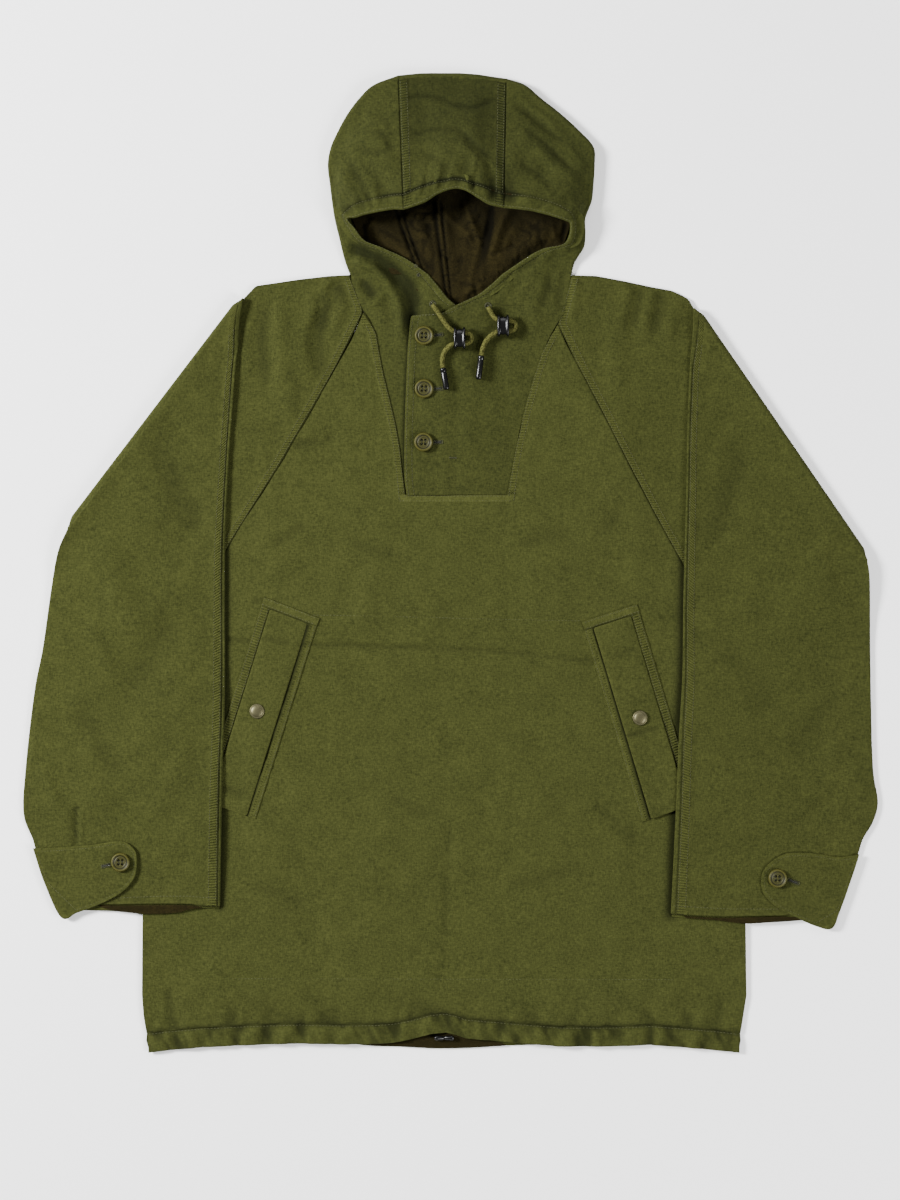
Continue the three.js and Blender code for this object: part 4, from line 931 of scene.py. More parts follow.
class Stitches:
    """Many small threads gathered in one piece"""

    def __init__(self):
        self.points, self.faces = [], []

    def bar(self, a, b, wide=0.55, high=0.35):
        """One thread from a to b, a low ridge with pointed ends"""
        a, b = np.asarray(a, float), np.asarray(b, float)
        run = b - a
        long = np.linalg.norm(run)
        if long < 0.2:
            return
        side = np.cross(run / long, (0, 0, 1.0))
        side = side / max(1e-6, np.linalg.norm(side)) * wide / 2
        up = np.array([0, 0, high])
        low = np.array([0, 0, -0.25])
        start = len(self.points)
        for share, size in ((0.0, 0.35), (0.2, 1.0), (0.8, 1.0), (1.0, 0.35)):
            at = a + run * share
            self.points += [at + side * size + low, at + up * size, at - side * size + low]
        for k in range(3):
            p = start + 3 * k
            self.faces += [(p, p + 3, p + 4, p + 1), (p + 1, p + 4, p + 5, p + 2)]
            self.faces += [(p + 2, p + 5, p + 3, p)]
        self.faces += [(start, start + 1, start + 2), (start + 9, start + 11, start + 10)]

    def line(self, points, top, step=3.4, gap=0.9, wide=0.6, high=0.3, jog=0.12):
        """A running stitch along a line seen from above, on a surface"""
        run = lengths(points)
        count = max(1, int(run[-1] / step))
        rng = np.random.default_rng(count)
        for k in range(count):
            ends = along(points, np.array([k * step, (k + 1) * step - gap]) / run[-1])
            ends = ends + rng.normal(0, jog, (2, 2))
            heights = top(ends[:, 0], ends[:, 1])
            self.bar(*np.column_stack([ends, heights + 0.05]), wide, high)

    def path(self, points, step=3.4, gap=1.0, wide=0.6, high=0.32, jog=0.1):
        """A running stitch along a line in space"""
        points = np.asarray(points, float)
        run = running(points)
        count = int(run[-1] / step)
        rng = np.random.default_rng(count + 5)
        for k in range(count):
            at = np.array([k * step, (k + 1) * step - gap])
            ends = np.stack([np.interp(at, run, points[:, i]) for i in range(3)], -1)
            ends[:, :2] += rng.normal(0, jog, (2, 2))
            ends[:, 2] += 0.1
            self.bar(ends[0], ends[1], wide, high)

    def build(self, name, material, slot_name):
        piece = make_mesh(name, self.points, self.faces, material, merge=0.0)
        return put_slot(piece)


# Fine relief


def undulate(x, y, seed=0):
    """The slow unevenness of washed canvas, in millimetres"""
    slow = 2.6 * noise(x, y, 62, seed) + 1.7 * noise(x, y, 27, seed + 1)
    fast = 0.62 * noise(x, y, 12, seed + 2) + 0.26 * noise(x, y, 5.5, seed + 3)
    return slow + fast


def crinkle(x, y, size, high, seed=0):
    """Thin creases that come and go"""
    there = smooth(noise(x, y, size * 3.2, seed + 9) * 3 + 0.35)
    return high * ridges(x, y, size, seed) * there


def stitch_rows(wide):
    """Distances of a band's two rows of stitching from its seam"""
    return 1.7, wide - 1.3


def band_relief(d, wide, rise=0.55):
    """A felled seam: a groove, then a raised band with a row of stitching at each side"""
    groove = -0.75 * peak(d, 0.8)
    band = rise * box(d, 0.6, wide, 0.9)
    rows = peak(d - 1.7, 0.5) + peak(d - wide + 1.3, 0.5)
    return groove + band - 0.22 * rows


def drawn_in(s, d, wide, seed=0, high=0.4, reach=11):
    """Short ripples square to a seam, dying away from its band"""
    wave = noise(s, d * 0.25, 6.5, seed) + 0.5 * noise(s, d * 0.2, 3.1, seed + 1)
    past = np.maximum(0, np.maximum(-d, d - wide))
    return high * wave * peak(past, reach)


def rungs(d, wide):
    """Where the ladder shows: under 1 inside the band"""
    return np.minimum(9, np.abs(d - wide / 2) / (wide / 2 - 0.6))


def spread(count, near=(0.5, 1.0, 1.7, 2.7, 4.0, 5.6, 7.4, 8.3), long=250.0):
    """Shares from 0 to 1, closer together at the ends"""
    ends = np.array(near) / long
    t = np.concatenate([np.linspace(0, 1, count), ends, 1 - ends])
    return np.unique(np.round(t, 6))


# Front

BAND = 8.0  # width of the ladder bands
SLEEVE_BAND = 10.5  # and beside the sleeve's long seam
FRONT_CREASES = folds(
    [
        [-150, -84, -92, -85, 2.6, -1.3], [-92, -85, -35, -86.5, 2.4, -1.4],
        [-35, -86.5, 30, -89, 2.6, -1], [30, -89, 86, -94, 2.4, -1.4],
        [86, -94, 152, -101.5, 2.6, -1.4], [-150, -79, -35, -82, 4, 0.7], [20, -84, 150, -96, 4, 0.7],
        [-231, -78, -205, -80, 3, -1.3], [-160, 122, -120, 130, 5, -1.1],
        [-150, 134, -128, 128, 4, 0.7], [-2, -270, -6, -384, 4, -0.7],
        [-200, -330, -150, -352, 7, -0.8], [-60, -240, -20, -262, 7, -0.7],
        [60, -330, 120, -318, 8, -0.7], [150, -250, 190, -286, 7, -0.8], [-180, 20, -150, 40, 6, -0.8],
        [150, 30, 176, 52, 6, -0.8], [-100, 20, -60, 8, 7, -0.7], [70, 20, 120, 30, 7, -0.7],
        [-292, -440, -286, -476, 4, -1.4], [-276, -452, -273, -474, 4, 1.1],
        [278, -446, 273, -478, 4, -1.4], [262, -450, 259, -474, 4, 1.1],
    ],
)
LINE_UPPER = [(-145, -53), (-60, -54.5), (30, -57), (136, -59.2)]
LINE_LOWER = [(-243, -427), (0, -427.6), (229.7, -428)]

BIB_BOTTOM = 71
FRONT_LOW = -478.0  # where the front meets the hem's channel
BIB_LOW = (BIB_LEFT[-1][0], BIB_RIGHT[-1][0])
SIDE_TOPS = {"left": (-89.6, 259), "right": (109.6, 247.4)}  # where the front ends beside the bib


def front_side(side):
    """The front's side edge, with the raglan seam above it"""
    upper = [*SLEEVES[side]["raglan"][-2::-1], SIDE_TOPS[side]]
    x, y = np.array(upper, float).T
    return {"x": np.append(BODY_SIDES[side], x), "y": np.append(BODY_SIDES["y"], y)}


SIDES = {side: front_side(side) for side in SLEEVES}
BIB_SHAPE = np.array(BIB_LEFT[::-1] + [(-95.8, 268), (121.5, 266)] + BIB_RIGHT, float)


def near_line(points, x, y):
    """Distance along a polyline and away from it"""
    points = np.asarray(points, float)
    run = lengths(points)
    best = np.full(np.shape(x), np.inf)
    s = np.zeros(np.shape(x))
    for k in range(len(points) - 1):
        p, way = points[k], points[k + 1] - points[k]
        t = clamp(((x - p[0]) * way[0] + (y - p[1]) * way[1]) / (way @ way))
        d = np.hypot(x - p[0] - t * way[0], y - p[1] - t * way[1])
        s = np.where(d < best, run[k] + t * (run[k + 1] - run[k]), s)
        best = np.minimum(best, d)
    return s, best


def hem_gather(x, y):
    """The cloth above the hem, drawn in by the cord"""
    above = np.maximum(0, y - look(HEM, "y", x, "x") - CASING_DEEP)
    wave = noise(x + 0.5 * above, above * 0.3, 13, 113) + 0.6 * noise(x - 0.3 * above, above * 0.3, 7, 117)
    return 3.2 * wave * peak(above, 24) * smooth((above + 2) / 6)


def front_detail(x, y):
    """What the front's cloth adds to its plain form"""
    free = front_free(x, y)
    detail = undulate(x, y, 1) * 0.75 + crinkle(x, y, 17, 0.3, 4) - crinkle(x, y, 26, 0.35, 8)
    detail = detail * (0.25 + 0.75 * free) + fold_height(FRONT_CREASES, x, y)
    detail = detail + hem_gather(x, y)
    for line in (LINE_UPPER, LINE_LOWER):
        s, d = near_line(line, x, y)
        detail = detail - 0.45 * peak(d, 1.3) + 0.5 * drawn_in(s, d, 0, 3, 0.5, 7)
    return detail


def front_surface(x, y):
    """Height of the front as it is shown"""
    return kept_above(front_top(x, y) + front_detail(x, y), FLAT_TOP - 1.0, 0.25)


def under_seam(side):
    """The raglan seam's line, a little longer at both ends"""
    line = rounded(SLEEVES[side]["raglan"], 4)
    ends = [line[0] + (line[0] - line[1]) * 2, line[-1] + (line[-1] - line[-2]) * 1.5]
    return np.vstack([ends[0], line, ends[1]])


def make_front():
    sheet = Sheet()
    hem_top = HEM["y"] + CASING_DEEP + SEAM_GAP
    near_bib = np.array([8.4, 7.6, 6, 4.6, 3.2, 2, 1, 0.5, 0]) / (BIB_BOTTOM - FRONT_LOW)
    t = [[0, 0.001, 0.002], np.linspace(0.004, 0.985, 190), 1 - near_bib]
    t = np.unique(np.concatenate(t))
    level = lerp(FRONT_LOW, BIB_BOTTOM, t)
    spreading = smooth((BIB_BOTTOM - level) / 300)
    seam_a = np.where(level > 70, BIB_LOW[0], lerp(BIB_LOW[0], -60, spreading))
    seam_b = np.where(level > 70, BIB_LOW[1], lerp(BIB_LOW[1], 66, spreading))
    left = look(SIDES["left"], "x", level)
    right = look(SIDES["right"], "x", level)
    flank, middle = spread(84), spread(40, long=104)
    fractions = [
        (left, seam_a, flank),
        (seam_a, seam_b, middle[1:]),
        (seam_b, right, flank[1:]),
    ]
    x = np.concatenate([a[:, None] + (b - a)[:, None] * f[None] for a, b, f in fractions], 1)
    y = lerp(np.interp(x, HEM["x"], hem_top), BIB_BOTTOM, t[:, None])
    upper = []
    for name, (_, top) in SIDE_TOPS.items():
        rows = np.concatenate([np.linspace(BIB_BOTTOM, top - 2, 62), [top - 1, top]])
        outer = look(SIDES[name], "x", rows)
        inner = look(BIB_SEAMS[name], "x", rows)
        low, high = (outer, inner) if name == "left" else (inner, outer)
        upper.append((low[:, None] + (high - low)[:, None] * flank[None], rows[:, None] + 0 * flank[None]))
    for gx, gy in [(x, y), *upper]:
        add_front_grid(sheet, gx, gy)
    edges = [(np.stack([x[0], y[0]], -1), (0, 1))]
    for gx, gy, pick in ((x, y, 0), (x, y, -1)):
        line = np.stack([gx[:, pick], gy[:, pick]], -1)
        edges.append((line[level < -66], (1.0 if pick == 0 else -1.0, 0)))
    for line, way in edges:
        z = front_surface(line[:, 0], line[:, 1])
        sheet.rim(np.column_stack([line, z]), np.tile(np.array(way, float), (len(line), 1)), CLOTH)
    # painted shade: a darkened strip under each raglan seam, seen through the gap at the seam
    for side, out in (("left", -1.0), ("right", 1.0)):
        line = under_seam(side)
        z = np.full(len(line), FLAT_TOP - 0.9)
        inner = np.column_stack([line - np.array([out, 0]) * 3.0, z])
        outer = np.column_stack([line + np.array([out, 0]) * 3.0, z - 0.1])
        sheet.add(np.stack([inner, outer], 1), shade=0.6)
    add_pocket_frames(sheet)
    for line in (LINE_UPPER, LINE_LOWER):
        TOPSTITCH.line(line, front_surface)
    for out in stitch_rows(BAND):
        TOPSTITCH.path(on_front(offset_out(BIB_LEFT, -out, out)))
        TOPSTITCH.path(on_front(offset_out(BIB_RIGHT[::-1], out, out)))
        low = BIB_BOTTOM - out
        TOPSTITCH.path(on_front([(BIB_LOW[0] - out, low), (BIB_LOW[1] + out, low)]))
    piece = sheet.build("front_panel", CANVAS)
    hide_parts("front")
    return put_slot(piece)


FRAME = 9.5  # width of the stitched strips round a pocket flap
FRAME_STEP = 1.7


def add_pocket_frames(sheet):
    """Strips sewn on round each pocket flap: along its outer side, its top and its inner side"""
    across = np.array([-1.2, -0.6, 0, 0.6, 1.2, 1.9, 2.8, 4.4, 6.2, 7.4, 8.2, 8.9, 9.3, 9.7, 10.3])
    for side, corners in FLAPS.items():
        outer_top, inner_top, inner_low, outer_low = np.array(corners, float)
        middle = np.mean(corners, 0)
        # from, to, rise, darkness of the painted shadow beside the flap, length past the corner, ladder,
        # outline
        sides = [
            (outer_low, outer_top, 0.3, 0.0, FRAME, 0.0, 0.3),
            (outer_top, inner_top, 0.7, 0.25, FRAME, 8.0, 0.3),
            (inner_top, inner_low, 0.2, 0.95, 0.0, 0.75, 0.12),
        ]
        for a, b, rise, gap, more, plainness, edge_line in sides:
            way = (b - a) / np.hypot(*(b - a))
            out = np.array([-way[1], way[0]])
            out *= np.sign(out @ (a - middle))
            start = a - way * (more if a is outer_top else 0)
            end = b + way * (more if b is not inner_low else 0)
            long = np.hypot(*(end - start))
            s = np.append(np.arange(0, long, FRAME_STEP), long)[:, None]
            places = start + way * s[..., None] + out * across[None, :, None]
            x, y = places[..., 0], places[..., 1]
            d = across[None]
            over = 0.5 * rise + 0.45 + band_relief(d, FRAME, 0.5) * smooth((d + 0.4) / 1.5)
            over = over + drawn_in(s, d, FRAME, 19, 0.5)
            over = over * smooth((10.2 - d) / 0.9) - 0.8 * (d > 10)
            down = s / long if side == "left" else 1 - s / long
            wide = 1.4 + 1.4 * smooth(1.6 - 2.0 * down)
            # painted shadow beside the flap: a thin dark line along its edge and a wider one, darkest along
            # the flap's inner side
            line = 0.55 * peak(d, 0.8) + gap * peak(d - 0.4, wide)
            outline = edge_line * peak(d - 9.8, 0.5)
            sheet.add(
                np.stack([x, y, front_surface(x, y) + over], -1),
                wear=0.12 * (d > 0.9) + 0 * x,
                rung_along=s + 0 * x,
                rung_across=rungs(d, FRAME) + plainness + 0 * x,
                shade=np.minimum(0.9, line + outline) + 0 * x,
            )
            for row in (8.1,) if gap > 0.5 else (1.7, 8.1):
                k = np.argmin(np.abs(across - row))
                TOPSTITCH.path(np.stack([x[:, k], y[:, k], (front_surface(x, y) + over)[:, k]], -1))


def offset_out(points, out, drop):
    """The line moved sideways, with its lower end moved down"""
    moved = np.array(points, float)
    moved[:, 0] += out
    moved[np.argmin(moved[:, 1]), 1] -= drop
    return moved


def on_front(points):
    """The line in short steps on the front, with what the seam bands add"""
    line = along(points, np.linspace(0, 1, 120))
    x, y = line[:, 0], line[:, 1]
    d = np.maximum(0, -inside_distance(BIB_SHAPE, x, y))
    z = front_surface(x, y) + band_relief(d, BAND) + drawn_in(np.where(y > BIB_BOTTOM, y, x), d, BAND, 2)
    return np.column_stack([line, z])


def add_front_grid(sheet, x, y):
    d = np.maximum(0, -inside_distance(BIB_SHAPE, x, y))
    s = np.where(y > BIB_BOTTOM, y, x)
    z = front_surface(x, y) + band_relief(d, BAND) * (d < 30) + drawn_in(s, d, BAND, 2)
    seam_s, seam_d = near_line(SLEEVES["left"]["seam"], x, y)
    other_s, other_d = near_line(SLEEVES["right"]["seam"], x, y)
    edge_d = np.minimum(seam_d, other_d)
    pucker = drawn_in(np.where(seam_d < other_d, seam_s, other_s), edge_d, 0, 6, 0.7, 12)
    z = z + pucker * smooth((edge_d - 0.5) / 3) - 0.35 * peak(edge_d, 0.9)
    wear = 0.2 * box(d, 0.4, BAND, 1.0) * (d > 0.2) + 0.05 * peak(d - BAND, 6)
    # painted shadow on the front beside each folded sleeve's inner edge
    from_left, from_right = (near_line(SLEEVES[k]["over_line"], x, y)[1] for k in ("left", "right"))
    sleeve_shadow = np.maximum(peak(from_left, 4.4), peak(from_right, 6.5))
    sheet.add(
        np.stack([x, y, z], -1),
        wear=wear,
        rung_along=s,
        rung_across=np.where(y < BIB_BOTTOM - 0.3, 9, rungs(d, BAND)),
        # painted shade in the bottoms of the creases and of the gathers above the hem, the sleeves' painted
        # shadow and painted shade along the crease at the channel's top; also the dark lines of the raglan
        # and bib seams
        shade=np.minimum(
            0.85,
            hollow(fold_height(FRONT_CREASES, x, y), 1.3, 0.3)
            + hollow(hem_gather(x, y), 1.6, 0.4)
            + 0.4 * peak(edge_d, 0.7)
            + 0.45 * peak(d, 0.7)
            + 0.85 * sleeve_shadow
            + 0.6 * peak(y - look(HEM, "y", x, "x") - CASING_DEEP, 2.6),
        ),
    )


# Hood, with the placket's two sides that run up into it

HOOD_COLUMNS = "sideX sideY mouthX mouthY mouthZ edge casing"
HOOD_LEFT = [
    [-104, 297.6, -24.3, 297.6, 9, 1.45, 7], [-108.7, 310, -46, 312.5, 10, 2.6, 8],
    [-112, 322, -70, 323.5, 12, 3.8, 8], [-115, 335, -89, 331, 15, 4.8, 7],
    [-118, 347, -99, 343, 19, 5, 6], [-121, 362, -106.5, 352.4, 23, 5, 5],
    [-124.6, 390, -98, 353.6, 25, 5, 11], [-126.7, 410, -90, 356, 26.5, 5, 13],
    [-123.6, 428, -81, 357.8, 28, 5, 14], [-116.5, 444, -73, 359.3, 29, 5, 14],
    [-106.6, 462, -65, 360.6, 30, 5, 14], [-93.7, 479, -59, 361.4, 30.5, 5, 14],
    [-79.6, 492, -54, 361.3, 31, 5, 14], [-54.4, 501.8, -48.6, 361, 31.5, 5, 14],
]
HOOD_CENTRE = [
    [-54.1, 501.8, -48.3, 361, 31.5, 5, 14], [-34, 503.8, -36, 364.6, 34, 5, 16],
    [-23, 504.2, -25, 369, 35.5, 5, 15.5], [-11, 504.2, -15, 375.4, 37, 5, 12],
    [-2, 504.2, -5, 379.6, 37.8, 5, 9.5], [8, 504.2, 4, 381.6, 38.5, 5, 9],
    [18, 503.6, 13, 380.4, 38.2, 5, 9], [28, 502.8, 21, 376.4, 37.6, 5, 10],
    [36, 501.5, 29, 371.4, 36.5, 5, 13], [46, 500, 39, 366, 34.5, 5, 15],
    [56.7, 498.5, 53.8, 363, 31.5, 5, 14],
]
HOOD_RIGHT = [
    [57, 498.5, 54.1, 363, 31.5, 5, 14], [76.2, 492, 60, 362.6, 31, 5, 14],
    [91.7, 479, 67, 361.9, 30.5, 5, 14], [113.3, 462, 75, 361, 30, 5, 14],
    [132.9, 444, 83, 360, 29, 5, 14], [146.8, 428, 92, 358, 28, 5, 14],
    [147.8, 410, 102, 355.5, 26.5, 5, 13], [146.6, 390, 112, 352.6, 25, 5, 11],
    [144.8, 373, 119, 350.3, 23.5, 5, 8], [138.3, 355, 122.5, 347.5, 21.5, 5, 5],
    [138.4, 340, 121.5, 336, 18.5, 5, 6], [137, 326, 115, 326.8, 15.5, 5, 7],
    [131.8, 317, 95, 322.8, 13, 4, 8], [127, 309, 77, 313, 11, 2.6, 8],
    [124, 297.6, 53.8, 297.6, 9, 1.45, 7],
]
HOOD_FOLDS = folds(
    [
        [-98, 318, -66, 305, 9, 3.5], [-76, 305, -50, 300, 8, -2.5], [-100, 400, -60, 382, 12, -2.2],
        [-104, 430, -64, 436, 13, 2.0], [-30, 470, -22, 400, 11, -1.8], [22, 478, 28, 405, 12, 1.8],
        [100, 400, 66, 384, 12, -2.2], [124, 420, 74, 440, 13, 2.2], [112, 345, 132, 356, 7, -2.4],
        [88, 318, 70, 302, 10, 2.4],
    ],
)
HOOD_PATHS = [
    ([(-54, 474), (-34, 480), (-14, 478), (4, 470), (23, 466), (40, 474), (53, 480)], 3.0, -1.7),
    ([(-54, 470), (-30, 474), (-8, 472), (12, 462)], 3.5, 1.3),
    ([(-44, 437), (-20, 444), (6, 443), (26, 429)], 3.2, -1.6),
    ([(14, 434), (28, 424), (42, 412)], 3.4, -2.2), ([(8, 428), (24, 416), (34, 404)], 3.6, 1.6),
    ([(-30, 420), (-12, 410), (0, 398)], 4.5, -1.2),
    ([(64, 472), (82, 460), (102, 442), (118, 430)], 4, -1.8),
    ([(72, 476), (92, 464), (116, 446)], 4, 1.4),
    ([(76, 446), (92, 434), (108, 418), (124, 404)], 3.6, -2.0),
    ([(84, 428), (104, 408), (126, 394)], 4, 1.6), ([(70, 410), (88, 398), (106, 382)], 4, -1.6),
    ([(-97, 424), (-80, 420), (-60, 421)], 4, -1.6), ([(-106, 414), (-94, 392), (-82, 368)], 5, -1.8),
    ([(-76, 448), (-66, 434), (-58, 420)], 4, -1.3), ([(-88, 460), (-74, 450), (-62, 452)], 4, 1.2),
    ([(-116, 404), (-104, 382), (-92, 366)], 5, 1.8),
]
HOOD_CREASES = folds(
    [
        [-100, 428, -66, 384, 6, -2], [-88, 446, -60, 412, 7, 1.4], [-70, 470, -60, 430, 5, -1.2],
        [-40, 440, 34, 446, 8, -1.2], [-36, 418, 20, 404, 5, -1.4], [16, 430, 48, 392, 4, -1.7],
        [22, 436, 52, 398, 4, 1.2], [-44, 396, -14, 388, 4, -1.2], [76, 462, 120, 420, 6, -1.5],
        [84, 470, 134, 428, 4, 1.4], [70, 420, 112, 392, 6, -1.7], [96, 436, 138, 392, 4, -1.5],
        [104, 444, 142, 404, 3.5, 1.4], [128, 372, 142, 392, 4, -2], [122, 362, 140, 368, 4, 1.7],
        [-112, 372, -92, 384, 5, -1.7], [-118, 390, -98, 404, 5, 1.5],
    ],
)
WING_CREASES = folds(
    [
        [-92, 268, -84, 232, 6, -1.0], [-20, 284, -34, 262, 4, 0.9], [-8, 262, -22, 270, 3, 1.0],
        [64, 298, 46, 272, 5, -1.3], [84, 300, 66, 268, 6, 1.3], [104, 296, 92, 256, 6, -1.6],
        [112, 300, 108, 262, 5, 1.2], [90, 312, 70, 300, 5, -1.4], [30, 252, 70, 236, 7, -0.9],
        [48, 262, 74, 262, 4, -0.9], [44, 268, 60, 288, 4, 0.9], [20, 214, 74, 150, 9, -0.8],
        [64, 222, 84, 206, 5, -0.9], [60, 160, 74, 128, 7, 0.7], [-2, 170, 30, 100, 9, 0.6],
        [-34, 160, -10, 100, 8, -0.6],
    ],
)
WING_PATHS = [
    ([(-116, 327), (-92, 319), (-75, 311), (-59, 300), (-45, 286), (-37, 269), (-36, 250)], 8.5, -4.6),
    ([(-112, 312), (-94, 310), (-78, 304), (-66, 292), (-57, 274), (-50, 250), (-52, 226)], 6.5, 5.5),
    ([(-94, 290), (-84, 282), (-78, 273)], 6.5, -3.0),
    ([(-94, 270), (-82, 265), (-72, 272), (-68, 282)], 4.5, 2.0),
    ([(-104, 300), (-96, 284), (-94, 270)], 4.5, 1.6), ([(128, 342), (112, 330), (104, 312)], 6, -2.2),
    ([(124, 326), (106, 322), (92, 310)], 5, 1.8), ([(118, 296), (112, 280), (112, 262)], 6, -2.4),
]
VALLEY = [(-100, 322), (-80, 314), (-62, 302), (-47, 287), (-40, 270), (-38, 250)]


def wing_folds(x, y):
    return fold_height(WING_CREASES, x, y) + path_folds(WING_PATHS, x, y)


def valley_shade(x, y):
    """Painted shade in the deep fold beside the left cord's end, darkest by the overlap's corner"""
    s, d = near_line(VALLEY, x, y)
    corner = np.hypot(x + 42, y - 249)
    return 0.75 * smooth(s / 50) * peak(d, 8.5) + 0.6 * peak(corner, 9)


OVER_ROWS = table(
    "mouthX mouthY sideX sideY",
    [
        [-45.3, 70.1, 57.7, 71.2], [-47.4, 85, 60, 85], [-47.8, 107.6, 64.2, 107.6],
        [-47.2, 145.7, 72.3, 145.7], [-45.6, 191.1, 84.7, 190], [-44.1, 221.2, 94, 214],
        [-42.8, 236, 98, 226], [-42.2, 242.6, 100.5, 231], [-41.4, 249.5, 103.5, 237],
        [-40.4, 254.4, 106.5, 242], [-27, 255.5, 109.6, 247.4], [-17.5, 255.6, 113.8, 254],
        [-8.2, 257, 118, 260], [5.2, 264.7, 121.2, 265.3],
    ],
)
CHANNEL_THICK = 3.2
WINGS = ("v_left", "v_right")  # the sections beside the V
HOOD_BAND = 9.5
ROW_STEP = 2.3


def row_long(row):
    """Length of each section, from the mouth's edge to the side"""
    return np.hypot(row["sideX"] - row["mouthX"], row["sideY"] - row["mouthY"])


def on_row(row, share):
    """Places on each section at shares of its length"""
    x = lerp(row["mouthX"], row["sideX"], share)
    return x, lerp(row["mouthY"], row["sideY"], share)


def hood_height(row, t):
    """Height of the hood's top at distances in from the mouth's edge, a row for each section"""
    long = row_long(row)
    reach = long - row["edge"]
    x, y = on_row(row, t / long)
    allowed = smooth((reach - t) / 18) * smooth((row["edge"] - HALF) / 2.5)
    swell = (row["mouthZ"] - 2 * row["edge"]) * (1 - clamp(t / reach) ** 2) ** SWELL
    folds = fold_height(HOOD_FOLDS, x, y) + 0.6 * fold_height(HOOD_CREASES, x, y)
    folds = folds + path_folds(HOOD_PATHS, x, y)
    return 2 * row["edge"] + swell + folds * allowed


def row_steps(rows):
    """The larger of each row's two moves, at the mouth and at the side, and their running sum"""
    ends = (rows[:, 0:2], rows[:, 2:4])
    steps = np.maximum(*(np.hypot(*np.diff(end, axis=0).T) for end in ends))
    return steps, np.concatenate([[0], np.cumsum(steps)])


def refine(rows, dense_start=False, dense_end=False):
    """More rows between the table's, on smooth curves"""
    rows = np.asarray(rows, float)
    near = np.array([0.5, 1.0, 1.7, 2.7, 4.0, 5.6, 7.2, 8.2, 9.0, 10.0])
    steps, run = row_steps(rows)
    at = [np.arange(0, run[-1], ROW_STEP), [run[-1]]]
    at += [near] if dense_start else []
    at += [run[-1] - near] if dense_end else []
    at = np.unique(np.round(np.concatenate(at), 3))
    wider = padded(rows)
    i = np.clip(np.searchsorted(run, at, side="right") - 1, 0, len(rows) - 2)
    t = ((at - run[i]) / steps[i])[:, None]
    return curve(*(wider[i + k] for k in range(4)), t)


def hood_rows():
    """All sections from the left side of the V, round the mouth, to the right side of the V"""
    y = V_EDGES["y"]

    def wing(name):
        side = look(BIB_SEAMS[name], "x", y)
        edge = V_EDGES[name]
        height = 2.9 + look(RISE, "high", y)
        return np.stack([side, y, edge, y, height, 0 * y + HALF, 0 * y + 7.5], -1)

    blocks = [
        ("v_left", refine(wing("left"))),
        ("left", refine(HOOD_LEFT, dense_end=True)),
        ("centre", refine(HOOD_CENTRE, dense_start=True, dense_end=True)),
        ("right", refine(HOOD_RIGHT, dense_start=True)),
        ("v_right", refine(wing("right")[::-1])),
    ]
    kinds = np.concatenate([[k] * len(rows) for k, rows in blocks])
    data = np.concatenate([rows for _, rows in blocks])
    return kinds, {n: data[:, i : i + 1] for i, n in enumerate(HOOD_COLUMNS.split())}


CASING_SHARES = np.array([0, 0.04, 0.1, 0.2, 0.33, 0.48, 0.64, 0.78, 0.88, 0.94, 1.0])
PANEL_SHARES = np.unique(
    np.concatenate([np.array([0, 0.006, 0.012, 0.02, 0.03, 0.045]), np.linspace(0.06, 1, 44)])
)


